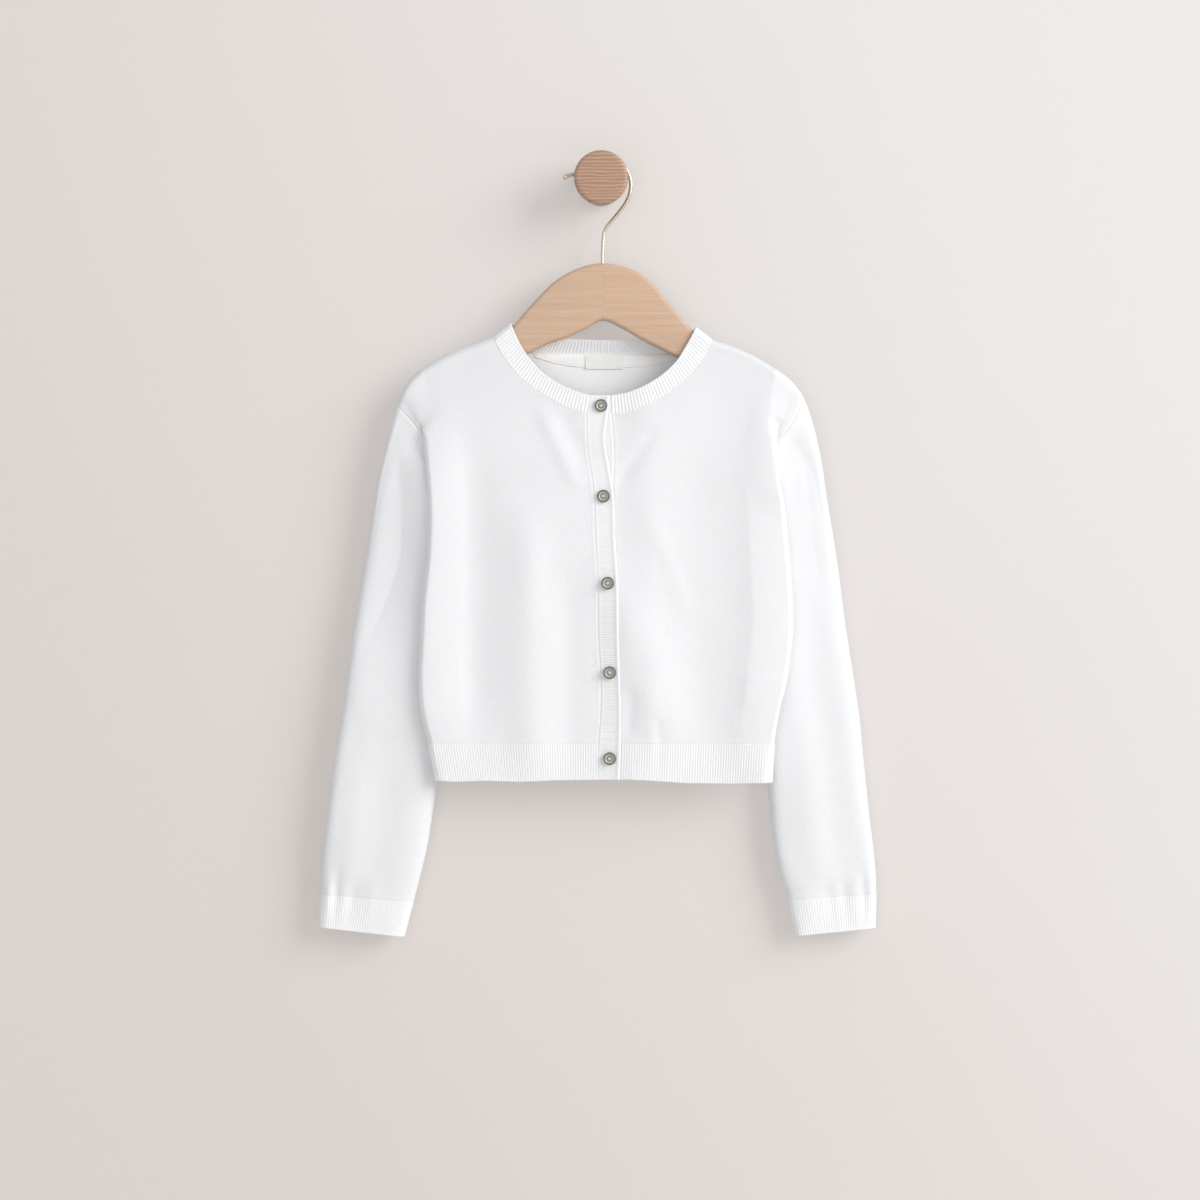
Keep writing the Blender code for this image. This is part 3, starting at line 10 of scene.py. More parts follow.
import bmesh
import bpy
import numpy as np
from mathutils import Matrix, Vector


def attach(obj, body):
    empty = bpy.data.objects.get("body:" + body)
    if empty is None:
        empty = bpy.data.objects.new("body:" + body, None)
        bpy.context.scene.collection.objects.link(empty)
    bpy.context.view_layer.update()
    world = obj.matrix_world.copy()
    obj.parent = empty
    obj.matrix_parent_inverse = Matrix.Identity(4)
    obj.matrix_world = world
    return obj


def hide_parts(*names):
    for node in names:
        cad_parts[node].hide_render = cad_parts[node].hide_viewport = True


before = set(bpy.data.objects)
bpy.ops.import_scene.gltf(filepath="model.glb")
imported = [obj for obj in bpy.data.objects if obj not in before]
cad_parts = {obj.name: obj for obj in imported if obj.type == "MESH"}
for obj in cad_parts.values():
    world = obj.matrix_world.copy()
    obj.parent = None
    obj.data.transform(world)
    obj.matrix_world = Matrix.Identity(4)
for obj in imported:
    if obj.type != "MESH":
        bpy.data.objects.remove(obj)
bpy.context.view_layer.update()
BODY = "root"
MM = 0.001

# Cloth
CLOTH = 1.5  # thickness of the plain knit
SEAM_GAP = 0.3  # between two pieces that are sewn together
RIB_RIDGE = 1.35  # outer face of a rib of the solids, from the middle of the wall: what a button rests on
FINE_RIB, NECK_RIB, BAND_RIB = 2.2, 2.9, 2.0  # from rib to rib at hem and cuffs, on neckband, on bands
BAND_LAP = 2.9  # from the middle of the top band to the middle of the band under it
UNDER_BAND_WIDTH = 18.0
LAP_REACH = 34.0  # how far from its edge the panel under the lap comes forward again

# Depth, along Y
HANGER_PLANE, HANGER_THICK = -24.0, 11.0  # middle of the hanger, and its thickness
SHOULDER_TIP_Y = -22.0
RIDGE_TURN = 5.5  # drop below the shoulder line in which the cloth turns over the hanger
FRONT_AT_HANGER, BACK_AT_HANGER = -31.3, -16.7
FRONT_BELLY, BACK_BELLY = 9.5, 8.5  # how far each hangs away from the hanger, low down
SIDE_BELLY_LOSS, HALF_BODY = 3.5, 150.0  # how much less the front does so at this distance from the middle
FRONT_FALL, BACK_FALL = 55.0, 25.0  # drop in which most of that is reached
HANGER_LINE = (-120.0, 0.3)  # height at which the cloth leaves the hanger in the middle, and fall outwards
CREASE_FADE = 0.3  # share of a crease's length over which each end fades
CREASE_BEYOND = 0.12  # how far a crease reaches past the ends given for it
BACK_CREASES = 0.8  # strength of the creases of the back
# The side fold is open above this height and closed, cloth on cloth, this much lower
FOLD_OPEN_Z, FOLD_CLOSES_IN = -190.0, 42.0
# How wide a strip of the back is drawn to the depth of its side seam: above the underarm and well below it
BACK_DRAWN, BACK_DRAWN_LOW = 24.0, 52.0
BACK_DRAWN_Z, BACK_DRAWN_IN = -295.0, 70.0  # where that starts to widen, and the drop in which it does
FOLD_Y = -34.3  # the outermost line of each side fold
# The knee of a front is softened over so many columns before and after it, in so many rounds, and that sets
# in over so many columns
KNEE_SOFT_IN, KNEE_SOFT_OUT, KNEE_ROUNDS, KNEE_EASE = 12, 4, 160, 4
KNEE_LEAST = 0.05  # added to the width of each column, so that none counts as nothing

# Sleeves
SLEEVE_Y = -14.5
SLEEVE_LEANS = {"left": -7.0, "right": 3.0}  # how far the outer fold of a sleeve leans towards the wall
LEANS_FROM, LEANS_IN = 0.1, 0.4  # share of the sleeve's length at which that starts, and in which it is full
CUFF_RIGHTS, RIGHTS_FROM = 0.6, 0.75  # share of it that is gone again at the cuff, and where that starts
SLEEVE_HALF, CUFF_HALF = 8.4, 6.6  # half the thickness of a sleeve and of a cuff that hang flat
SQUARENESS = 9.0  # how square the section of a flat tube is at its two folds
SLEEVE_SLIDE = 0.55  # how far the sleeve's lines lean outwards, away from the armhole seam
SLIDE_END = 0.12  # share of the sleeve's length in which they do so
OUTER_LEAD = 0.4  # how far the outer fold runs ahead of the inner one, halfway down
SHARE_SHOULDER = 0.25  # share of the armhole seam that counts as the shoulder
# Share of the sleeve's length in which it takes its own depth: at the tip, past the shoulder, at the underarm
SETTLE_TIP, SETTLE_SIDE, SETTLE_UNDERARM = 0.35, 0.07, 0.03
NARROWS_FROM = 0.6  # share of the sleeve's length from which it gets flatter towards the cuff
SLEEVE_FOLD_WIDTH, SLEEVE_FOLD_FADE = 0.15, 0.15
GATHER_WIDTH = 0.075
BACK_RELIEF = 0.7  # strength of the sleeves' creases on their backs
# Where the side fold of the body lies on a sleeve, the sleeve's front comes forward to it: height and how
# wide a strip does so, above and low down, where that changes, how far it reaches under the fold, its two
# ends, the lengths in which they fade, and the share of the sleeve's length in which it starts
MEET_HEIGHT = {"left": (6.9, 4.9), "right": (2.6, 1.0)}
MEET_WIDTH, MEET_WIDTH_LOW, MEET_WIDENS_Z, MEET_WIDENS_IN = 24.0, 62.0, -320.0, 150.0
MEET_UNDER, MEET_ENDS, MEET_FADES, MEET_FROM = 5.0, (-226.0, -590.0), (25.0, 110.0), 0.03

# Heights
UNDERARM_Z = -345.0
RIB_TOP_Z = -492.0
HEM_LINE_Z = -524.0  # mean height of the lower edge
NECK_ROW = 0.33  # the row at which the neck seam meets the band
UNDERARM_ROW = 0.5


# ---------------------------------------------------------------- spacing of the fine grids

def steps_to(*stops):
    """Shares from 0 on: each stop gives the next share and the number of steps that lead to it."""
    shares = [0.0]
    for share, steps in stops:
        shares += [*np.linspace(shares[-1], share, steps + 1)[1:]]
    return np.array(shares)


# Rows of the panels, from the shoulder seam (0) by the underarm (0.5) to the hem rib (1)
ROWS = steps_to((0.004, 4), (0.03, 10), (NECK_ROW, 50), (UNDERARM_ROW, 26), (0.985, 68), (1.0, 6))
NECK_AT, UNDERARM_AT = np.searchsorted(ROWS, (NECK_ROW, UNDERARM_ROW))
FRONT_COLUMNS = steps_to((0.03, 6), (1.0, 64))
FOLD_COLUMNS = steps_to((0.9, 20), (1.0, 5))[1:]
SHOULDER_COLUMNS = steps_to((0.03, 5), (1.0, 40))[:-1]
BACK_NECK_COLUMNS = steps_to((1.0, 44))
NECK_FIRST, NECK_LAST = len(SHOULDER_COLUMNS), len(SHOULDER_COLUMNS) + len(BACK_NECK_COLUMNS) - 1
SLEEVE_RINGS = steps_to((0.008, 4), (0.985, 108), (1.0, 6))

# Lines of each side. A place has the columns x, z, or x, y, z.
SIDES = {
    "left": {
        # from the neck point to the top of the side fold
        "shoulder": (
            (-93.4, -136.6), (-112.4, -143.9), (-128.3, -149.9), (-148.3, -160.6), (-157, -165.6),
        ),
        # on to the tip, where front, back and sleeve meet
        "shoulder_end": (
            (-157, -165.6), (-162.5, -169.5), (-170, -179), (-175.9, -189.3), (-178.8, -196.3),
        ),
        # from the neck point to the button band
        "neck": (
            (-93.4, -136.6), (-91, -143.5), (-80.7, -160.4), (-67.8, -174.9), (-47.6, -189.3),
            (-28.8, -199.4), (-12.8, -204.2),
        ),
        "band_seam": (
            (-12.8, -204.2), (-11.6, -236), (-7.9, -261), (-6.1, -277), (-4.9, -310), (-2.8, -352),
            (-2.2, -400), (0, -442), (-0.4, -465), (-2.4, RIB_TOP_Z), (-3.1, HEM_LINE_Z),
        ),
        # where the front starts to turn towards the side fold
        "knee": (
            (-157, -165.6), (-152.5, -179), (-148.5, -195), (-146.2, -215), (-145, -240), (-141.8, -285),
            (-142.5, -326), (-147, -370), (-148.7, -406), (-150.2, -433), (-147.5, -466), (-141, RIB_TOP_Z),
            (-135.5, HEM_LINE_Z),
        ),
        # the outermost line of the side fold
        "fold": (
            (-170, -31.5, -179), (-164.5, -32.3, -192), (-158.8, -33.2, -206), (-155.2, -34, -222),
            (-153.6, FOLD_Y, -240), (-150.2, FOLD_Y, -290.8), (-151, FOLD_Y, -326), (-155.4, FOLD_Y, -370),
            (-157.2, FOLD_Y, -406), (-158.7, FOLD_Y, -433), (-156.2, FOLD_Y, -466),
            (-149.8, FOLD_Y, RIB_TOP_Z), (-143.9, FOLD_Y, HEM_LINE_Z),
        ),
        "armhole_front": (
            (-178.8, -28.5, -196.3), (-172, -29.4, -203.5), (-161.5, -30.8, -215), (-153, -30.5, -228),
            (-148.5, -30, -250), (-145, -30, -280), (-139, -29, -310), (-131, -26.5, -334),
            (-125.5, -22, UNDERARM_Z),
        ),
        "armhole_back": (
            (-178.8, -17.5, -196.3), (-171.5, -16, -206), (-163, -13.5, -222), (-156, -10.5, -245),
            (-151, -9.3, -272), (-146, -9.3, -300), (-137, -12, -327), (-125.5, -22, UNDERARM_Z),
        ),
        "side_seam": (
            (-125.5, -22, UNDERARM_Z), (-127, -25.5, -368), (-131, -29, -408), (-138, -30.5, -450),
            (-144.5, -31, RIB_TOP_Z), (-140.5, -31, HEM_LINE_Z),
        ),
        "sleeve_outer": (
            (-178.8, -196.3), (-184.4, -218.4), (-189.4, -238.4), (-194.2, -258.3), (-202.1, -308.4),
            (-211.1, -361.7), (-217.9, -408), (-224, -453.7), (-233.4, -511.2), (-239.4, -556.2),
            (-243.6, -595.6), (-245.4, -625),
        ),
        "sleeve_inner": (
            (-125.5, UNDERARM_Z), (-124, -370), (-125.5, -400), (-129.5, -440), (-136.5, -480), (-144, -520),
            (-148, -550), (-151.6, -574), (-156.6, -597), (-162.6, -620.5), (-165.6, -631.5),
        ),
        "cuff_outer": (-246.9, -653.6),
        "cuff_inner": (-173.6, -662.2),
        # inner edge of the neckband, from its top at the side of the neck to the button band
        "neck_edge": (
            (-78.6, -124.6), (-75.5, -133), (-66.3, -150.3), (-54.8, -164.8), (-40.4, -176.3),
            (-21.6, -184.8), (-10, -188.4),
        ),
    },
    "right": {
        "shoulder": ((97.2, -139.8), (113.6, -144.8), (132.3, -152.6), (152.3, -164.5)),
        "shoulder_end": ((152.3, -164.5), (159.5, -169), (166.4, -175.2), (171.2, -180.8), (175, -186.2)),
        "neck": (
            (97.2, -139.8), (94.5, -146), (86.6, -159), (72.1, -174.9), (53.4, -189.3), (33.2, -199.4),
            (17.3, -203.8), (8.8, -204.6),
        ),
        "band_seam": (
            (8.8, -204.6), (10.6, -224), (11.2, -248), (10.5, -262), (10.4, -285), (13, -346), (13.8, -392),
            (14.6, -425), (15.8, -478), (15.6, RIB_TOP_Z), (14.8, HEM_LINE_Z),
        ),
        "knee": (
            (152.3, -164.5), (150, -177), (147.5, -192), (145.8, -210), (144.6, -228), (146, -250),
            (152, -294), (154.8, -325), (157.6, -360.8), (158.4, -389.6), (157, -411), (152.6, -440),
            (147.5, -466), (142, RIB_TOP_Z), (140, HEM_LINE_Z),
        ),
        "fold": (
            (166.4, -31.5, -175.2), (162.5, -33.4, -184.5), (157.8, -34.8, -196), (154.4, -35.4, -209),
            (152.8, -35.2, -228), (154.2, -34.8, -250), (160.3, FOLD_Y, -294), (163.3, FOLD_Y, -325),
            (166.1, FOLD_Y, -360.8), (166.8, FOLD_Y, -389.6), (165.2, FOLD_Y, -411), (160.9, FOLD_Y, -440),
            (155, FOLD_Y, -463), (150.4, FOLD_Y, RIB_TOP_Z), (148.4, FOLD_Y, HEM_LINE_Z),
        ),
        "armhole_front": (
            (175, -29.6, -186.2), (172.8, -31.2, -197), (166.8, -32.2, -211.5), (159.5, -32.2, -221),
            (153.5, -31.8, -232), (150.5, -31, -252), (149, -30.2, -282), (143, -29, -312),
            (134, -26.5, -334), (127, -22, UNDERARM_Z),
        ),
        "armhole_back": (
            (175, -17.5, -186.2), (171.5, -15.8, -200), (165, -13, -220), (158, -10.3, -245),
            (153.5, -9.3, -272), (148, -9.3, -300), (139, -12, -327), (127, -22, UNDERARM_Z),
        ),
        "side_seam": (
            (127, -22, UNDERARM_Z), (129.5, -25.5, -368), (134.5, -29, -408), (140.5, -30.5, -450),
            (145, -31, RIB_TOP_Z), (145, -31, HEM_LINE_Z),
        ),
        "sleeve_outer": (
            (175, -186.2), (179.6, -196.8), (184.5, -212), (191, -238), (198, -281.8), (206.9, -335.1),
            (214, -388.4), (221.5, -436.3), (226, -466.2), (229, -496.2), (232, -526.2), (235, -556.2),
            (238.7, -586.1), (241, -608.6), (241.4, -625),
        ),
        "sleeve_inner": (
            (127, UNDERARM_Z), (126.5, -370), (128, -400), (132, -440), (139, -480), (146.5, -522),
            (148.9, -548.7), (151.8, -578.6), (157.1, -605.6), (162.5, -622), (164.6, -630),
        ),
        "cuff_outer": (240.6, -654.8),
        "cuff_inner": (171.4, -661.4),
        "neck_edge": (
            (82.6, -128.6), (79.5, -135), (75.1, -143.1), (65, -159), (46.2, -174.9), (24.5, -185.2),
            (8.4, -188.4),
        ),
    },
}

# The seam between back and neckband, then the neckband's free edge at the back: x, y, z from left to right
BACK_NECK_SEAM = (
    (-93.4, HANGER_PLANE, -136.6), (-89.5, -16.6, -140.6), (-78, -12.6, -146.4), (-55, -10.4, -150),
    (-20, -9.6, -150.6), (25, -9.6, -150.6), (60, -10.4, -150.2), (82, -12.6, -147.6), (93.5, -16.6, -143.2),
    (97.2, HANGER_PLANE, -139.8),
)
BACK_NECK_EDGE = (
    (-78.6, HANGER_PLANE, -124.6), (-75, -16, -127.6), (-66, -15.4, -132.6), (-50, -15.6, -136.2),
    (-25, -16, -137.9), (0, -16, -138.6), (28, -16, -138.2), (52, -15.6, -137), (68, -15.4, -134.8),
    (79, -16, -131.4), (82.6, HANGER_PLANE, -128.6),
)
# Right edge of the top band: x, z
BAND_EDGE = (
    (7.4, -188.4), (5.5, -209.5), (3.7, -224), (6.8, -248.6), (10.4, -269), (11.7, -285), (12.9, -322),
    (14.7, -346), (15.5, -392), (16.2, -425), (17.4, -460), (17.2, RIB_TOP_Z), (16.2, -523.7),
)
# Lower edge of the hem rib: x, z
HEM_EDGE = (
    (-150, -523.7), (-127, -525.1), (-100, -524.3), (-71, -525.1), (-45, HEM_LINE_Z), (0, -523.2),
    (28, -523.2), (55, -524.9), (73, -526.3), (115, -526.7), (150, -525.7),
)
# Soft creases of the front: ends x, z and x, z, half width, height towards the viewer
FRONT_FOLDS = (
    (-147, -205, -147, -510, 21, 5.8),
    (-112, -235, -110, -480, 21, -3),
    (-63, -290, -60, -520, 18, 3),
    (-28, -350, -26, -500, 12, -1.1),
    (-53, -200, -21, -268, 7, 1.1),
    (-34, -204, -12, -248, 8, -0.9),
    (46, -220, 15, -266, 6, -1.2),
    (20, -370, 27, -550, 15, 2.4),
    (38, -435, 46, -500, 10, 1.2),
    (8, -330, 67, -496, 20, 2.8),
    (42, -290, 76, -380, 8, 0.6),
    (26, -446, 25, -486, 5, -0.9),
    (49, -470, 51, -496, 5, -0.8),
    (78, -235, 80, -510, 22, -1),
    (149, -188, 148, -290, 13, 3.2),
    (152, -215, 150, -560, 32, 8.4),
    (133, -428, 131, -462, 9, 0.8),
)
# The same for the back; a height towards the wall is positive
BACK_FOLDS = (
    (-96, -215, -84, -470, 15, 2),
    (-30, -330, -38, -488, 13, 1.6),
    (28, -250, 40, -420, 14, -2.2),
    (88, -230, 96, -480, 15, 1.8),
)
# Gathers above a cuff: share of the way from the outer to the inner fold, height, reach up the sleeve
SLEEVE_GATHERS = {
    "left": ((0.16, 1.3, 0.10), (0.28, -1.6, 0.13), (0.48, -1.4, 0.09), (0.68, 1.2, 0.11)),
    "right": ((0.24, -1.5, 0.12), (0.50, -1.3, 0.08), (0.66, -1.4, 0.10), (0.86, 1.2, 0.12)),
}
# Long creases of the sleeves, seen from the front: share across, height, from and to along the sleeve
SLEEVE_FOLDS = {
    "left": ((0.42, 1.2, 0.55, 1), (0.86, 1.6, 0.62, 1.1)),
    "right": ((0.72, 2, 0.30, 1), (0.28, 0.6, 0.25, 0.80)),
}

# Buttons: x, z of each
BUTTONS = ((0, -197.5), (2.1, -276.4), (5.7, -352.1), (7.5, -429.8), (7.5, -504.5))
BUTTON_RADIUS = 5.5

# What is sewn inside the back neck. A lift is added to the seam gap, because the back is curved
TAPE_THICK, TAPE_LIFT = 0.7, -0.2
TAPE_BELOW_SEAM, TAPE_DEEP = 0.9, 11  # its upper edge, and its depth from there
TAPE_STEP, LABEL_STEP = 1.5, 1.0  # spacing along x
TAPE_DIP, LABEL_DIP = 0.25, 0.2  # depth of the stitched dip along their edges
LABEL_THICK, LABEL_LIFT, LABEL_OFF_TAPE = 0.6, -0.2, 0.3
# Lower edge of the tape: x, z
TAPE_EDGE = (
    (-58, -153.4), (-40, -158.6), (-14, -162.2), (20, -162.4), (46, -160.2), (68, -155.6),
)
LABEL_X, LABEL_Z = (-13.7, 19.8), (-151.4, -163.6)  # left to right, top to bottom

# Hanger: upper and lower outline x, z from left to right
HANGER_TOP = (
    (-160, -172), (-148, -163.2), (-128, -152.6), (-112, -147), (-94, -141), (-78, -128.3), (-65.8, -114),
    (-52.9, -99.9), (-41.2, -88.6), (-27.3, -79.9), (-12, -74), (1.3, -72.1), (14.5, -73.8), (32.1, -79.9),
    (46.1, -90.9), (57.8, -105.6), (69.4, -119.2), (82, -132.7), (97.5, -144.2), (114, -148.2),
    (133, -155.8), (150, -166), (162, -173.6),
)
HANGER_BOTTOM = (
    (164.5, -178.2), (161, -182.4), (150, -180.6), (128, -173.6), (96, -165), (68.8, -155.4), (51.9, -147.3),
    (34.5, -138.5), (17, -128.4), (1.8, -122.2), (-15.7, -130.6), (-29.6, -136.8), (-47.1, -142.8),
    (-64.6, -151.4), (-94, -161), (-126, -170.6), (-147, -178), (-159, -180.6), (-162.5, -176.8),
)
HANGER_ROUND = 3.5  # radius of its long edges

# Hook: x, z of the wire's middle, from its tip over the knob and down into the hanger
HOOK_RADIUS = 1.65
HOOK_ROUTE = (
    (-33.2, 2), (-29.6, 4.4), (-26.2, 5.3), (-23.4, 6.4), (-20.5, 9.6), (-16.5, 14), (-11.2, 18.2),
    (-4.6, 20.8), (1.3, 21.35), (8, 20.5), (14.8, 17.4), (20.6, 12.2), (24.6, 5), (26.1, -3), (25, -11.5),
    (21.8, -19), (17.7, -24.8), (13.2, -30.6), (9, -35.4), (5.2, -40), (2.8, -44.6), (2, -51), (1.4, -62),
    (1.25, -74), (1.2, -86),
)
# Knob: half section radius, distance from the wall
KNOB_FOOT = 18.3  # radius of the flat back that lies on the wall
KNOB_PROFILE = (
    (0, 52), (20.5, 52), (22.8, 51), (23.5, 48.6), (23.5, 43), (22.6, 40.6), (19, 36.5), (19, 2),
    (KNOB_FOOT, 0), (0, 0),
)


# ---------------------------------------------------------------- sizes that only the looks have

SEAM_DIP, DIP_WIDTH = 0.14, 0.7  # depth and half width of the groove along a sewn edge
SEAM_WELT, WELT_AT, WELT_WIDTH = 0.12, 2.2, 1.0  # the low welt beside it
# Long shallow waves of the cloth: per millimetre along x and z, phase, height
WAVES = (
    (0.035, 0.011, 0.3, 0.16), (-0.052, 0.020, 1.9, 0.12), (0.081, -0.033, 4.1, 0.08),
    (0.021, 0.060, 2.4, 0.07), (0.125, 0.042, 0.8, 0.05),
)
WAVE_DEEP = 0.2  # change of their phase along y, per millimetre
EDGE_ROUND = 0.75  # radius of a free edge
THINNEST = 0.01  # square of the share of its thickness that a rounded edge keeps
# Outer face of a rib's groove and of the rib, from the middle of the wall
RIB_RELIEF = {"neckband": (0.78, 1.2), "hem": (0.92, 1.2), "cuff": (0.94, 1.18)}
RIB_POWER = {"neckband": 0.6, "hem": 0.5, "cuff": 0.5, "band": 1.0}  # a groove is narrower below 1
EDGE_ROLL, EDGE_ROLL_AT, EDGE_ROLL_WIDTH = 0.12, 0.9, 0.7  # the bound-off edge of a rib
# The ribs rise from the seam in this length, from a little above it, and end at the free edge in the last
RIB_START, RIB_LEAD, RIB_END = 1.6, 0.3, 1.4
BAND_FLAT, BAND_RIB_HEIGHT = 0.75, 0.26
# The fine ribs of a band begin this far from its edges, rise in this width, and at their top in this height
BAND_RIB_IN, BAND_RIB_EASE, BAND_RIB_TOP = 2.2, 1.6, 16
# Each button band: the height below which its fine ribs show. Then dip, height of the roll, how far in and
# how wide, at its left edge (top) and at its right edge (bottom)
BAND_LOOKS = {
    "band_top": (-266.0, {"top": (0.12, 0.18, 1.3, 0.9), "bottom": (0.0, 0.55, 1.9, 1.4)}),
    "band_under": (0.0, {"top": (0.0, 0.1, 1.2, 0.9), "bottom": (0.15, 0.2, 1.5, 0.9)}),
}
HEM_ROWS = steps_to((0.05, 3), (0.92, 6), (0.965, 2), (1.0, 5))
NECKBAND_ROWS = steps_to((0.1, 4), (0.94, 10), (1.0, 6))
BAND_ROWS = steps_to((0.06, 3), (0.2, 4), (0.8, 6), (0.94, 4), (1.0, 4))
# First word of a piece's name: pitch of its ribs, its rows, columns for each rib, its skin
RIB_KINDS = {
    "band": (BAND_RIB, BAND_ROWS, 6, "band"),
    "neckband": (NECK_RIB, NECKBAND_ROWS, 8, "neck rib"),
    "hem": (FINE_RIB, HEM_ROWS, 8, "rib"),
    "cuff": (FINE_RIB, HEM_ROWS, 8, "cuff rib"),
}
STITCH_IN, STITCH_WIDTH = 1.2, 0.35  # where a sewn-on strip is stitched, and half the width of the dip
NEAR_EDGE = (0.1, 0.3, 0.5, 0.8, 1.2, 1.6)  # the places close to the edge of such a strip
FREE_OF_EDGE = 2.0
BUTTON_SECTION = (
    (0, 1.05), (2.9, 1.05), (3.6, 1.35), (4.3, 2.1), (5.0, 2.1), (BUTTON_RADIUS, 1.4), (BUTTON_RADIUS, 0.6),
    (4.8, 0), (0, 0),
)
HOLE_AT, HOLE_RADIUS = 1.05, 0.62  # of each thread hole, from the middle
THREAD_UP, THREAD_DOWN, THREAD_RADIUS = 1.65, 0.3, 0.34
THREAD_NEAR, THREAD_STEPS = 0.75, 13  # how close to the middle it runs between two holes, as a share
BUTTON_ROUND, KNOB_ROUND = 0.3, 1.0  # radius of the corners of their sections
BUTTON_TURNS = (40.0, 8.0, 25.0, -15.0, 12.0)  # degrees
# Colour from the middle of a button to its rim: share of the radius, linear colour. Its pale middle is a
# painted highlight and its near-black rim painted shade, with light and dark rings between
BUTTON_RINGS_WITH_PAINTED_LIGHT = (
    (0, (0.90, 0.91, 0.84)), (1, (0.075, 0.078, 0.068)), (0.17, (0.62, 0.63, 0.54)),
    (0.30, (0.30, 0.31, 0.25)), (0.46, (0.20, 0.205, 0.165)), (0.54, (0.34, 0.35, 0.28)),
    (0.64, (0.54, 0.55, 0.47)), (0.76, (0.19, 0.195, 0.17)), (0.88, (0.09, 0.094, 0.082)),
)
HOOK_SWELL = (0, 4, 8, 13), (1.15, 1.3, 1.15, 1.0)  # the wire's rounded tip: places on it, and how thick
# Steps round a button, the knob, the hook's wire, a thread and a drill, then both ends of the drill
BUTTON_STEPS, KNOB_STEPS, HOOK_STEPS, THREAD_AROUND, DRILL_STEPS, DRILL_Y = 64, 96, 20, 8, 16, (6, -2)
# Degrees between two faces above which the edge between them stays sharp
SHARP_PANEL, SHARP_RIB, SHARP_STRIP, SHARP_BUTTON, SHARP_THREAD = 40, 80, 60, 50, 80
SHARP_HANGER, SHARP_HOOK, SHARP_KNOB = 50, 60, 40
AXIS_RADIUS = 0.001  # of a turned piece where its section meets the axis
TUBE_END = 0.35, 0.85  # share of its radius that a tube has at its first and last two rings
HANGER_JOINT_X = 1.5
# Each knit: name, width of a wale, height of a course, lean of the stitch, depth of its relief, in metres
# where they are lengths, then its colour on a stitch and in a groove. The groove colour is painted shade in
# the hollows between stitches, and the purl side, neck rib and cuff rib are the same white cotton set lighter
# as painted light, for how brightly those parts are lit
KNITS = {
    "knit": ("plain knit", 0.00125, 0.0010, 0.45, 0.00012, (0.870, 0.876, 0.887), (0.770, 0.785, 0.810)),
    "purl": ("purl side", 0.00125, 0.0010, 0.15, 0.00011, (0.918, 0.923, 0.925), (0.862, 0.868, 0.88)),
    "rib": ("rib knit", 0.0011, 0.0010, 0.45, 0.00009, (0.885, 0.89, 0.90), (0.805, 0.815, 0.84)),
    "neck rib": ("neck rib knit", 0.0011, 0.0010, 0.45, 0.00009, (0.885, 0.89, 0.90), (0.825, 0.835, 0.855)),
    "cuff rib": ("cuff rib knit", 0.0011, 0.0010, 0.45, 0.00009, (0.89, 0.895, 0.90), (0.83, 0.84, 0.855)),
    "band": ("band knit", 0.0010, 0.0010, 0.45, 0.00008, (0.87, 0.875, 0.88), (0.79, 0.80, 0.82)),
}
# Sewn edges of a panel, of a tube, and of a rib whose lower edge is free
ROUND, TUBE, FREE_BELOW = ("top", "bottom", "first", "last"), ("top", "bottom"), ("top", "first", "last")
# Each cloth: width, length and flat area of its cut in metres, what it is sewn to or hangs on, its sewn
# edges, and whether the normals of its grid have to be turned round
PIECES = {
    "front_left": (0.20, 0.37, 0.060, ["hanger"], ROUND, True),
    "front_right": (0.20, 0.37, 0.060, ["hanger"], ROUND, False),
    "back": (0.36, 0.36, 0.110, ["hanger"], ROUND, True),
    "sleeve_left": (0.25, 0.43, 0.075, ["front_left", "back"], TUBE, False),
    "sleeve_right": (0.25, 0.43, 0.075, ["front_right", "back"], TUBE, True),
    "cuff_left": (0.16, 0.034, None, ["sleeve_left"], ("top",), False),
    "cuff_right": (0.16, 0.034, None, ["sleeve_right"], ("top",), True),
    "hem_left": (0.17, 0.033, None, ["front_left"], FREE_BELOW, True),
    "hem_right": (0.17, 0.033, None, ["front_right"], FREE_BELOW, False),
    "hem_back": (0.30, 0.033, None, ["back"], FREE_BELOW, True),
    "neckband": (0.42, 0.017, None, ["front_left", "front_right", "back"], FREE_BELOW, False),
    "band_top": (0.019, 0.338, None, ["front_left"], ("top",), True),
    "band_under": (0.018, 0.338, None, ["front_right"], ("bottom",), True),
    "neck_tape": (0.126, 0.011, None, ["back"], (), False),
    "neck_label": (0.034, 0.0125, None, ["neck_tape"], (), False),
}
# Wall: colour towards the lower left and towards the upper right, painted shade that is darker away from the
# key light
WALL_PAINTED_SHADE_COLOURS = (0.436, 0.405, 0.384), (0.480, 0.463, 0.455)
FLOOR_COLOUR = (0.74, 0.71, 0.69)
FLOOR_Z, WALL_Y, WALL_TOP, ROOM = -1.12, 0.0005, 3.0, 4.0
# name, place, target, size, power, colour
LIGHTS = (
    ("key", (4.45, -3.0, 1.7), (0.0, 0.0, -0.35), 4.0, 251.0, (1.0, 0.995, 0.985)),
    ("fill", (-0.9, -3.2, -0.35), (0.0, 0.0, -0.35), 1.8, 13.0, (1.0, 0.995, 0.985)),
)
WORLD_COLOUR, WORLD_STRENGTH = (0.97, 0.98, 1.0), 0.576
WALL_GLOW = 0.59  # share of the wall's light that is its own, which keeps the shadows on it faint
BOUNCES = 12  # white cloth lights its own folds
LENS = 90.0
CAMERA_PLACE = (-0.0009, -2.65, -0.3667)


# ---------------------------------------------------------------- lines

def join(*columns):
    return np.stack(columns, axis=-1)


def between(start, end, share):
    return start + (end - start) * share


def ease(value):
    """0 below 0, 1 above 1, and smooth between."""
    clipped = np.clip(value, 0, 1)
    return clipped * clipped * (3 - 2 * clipped)


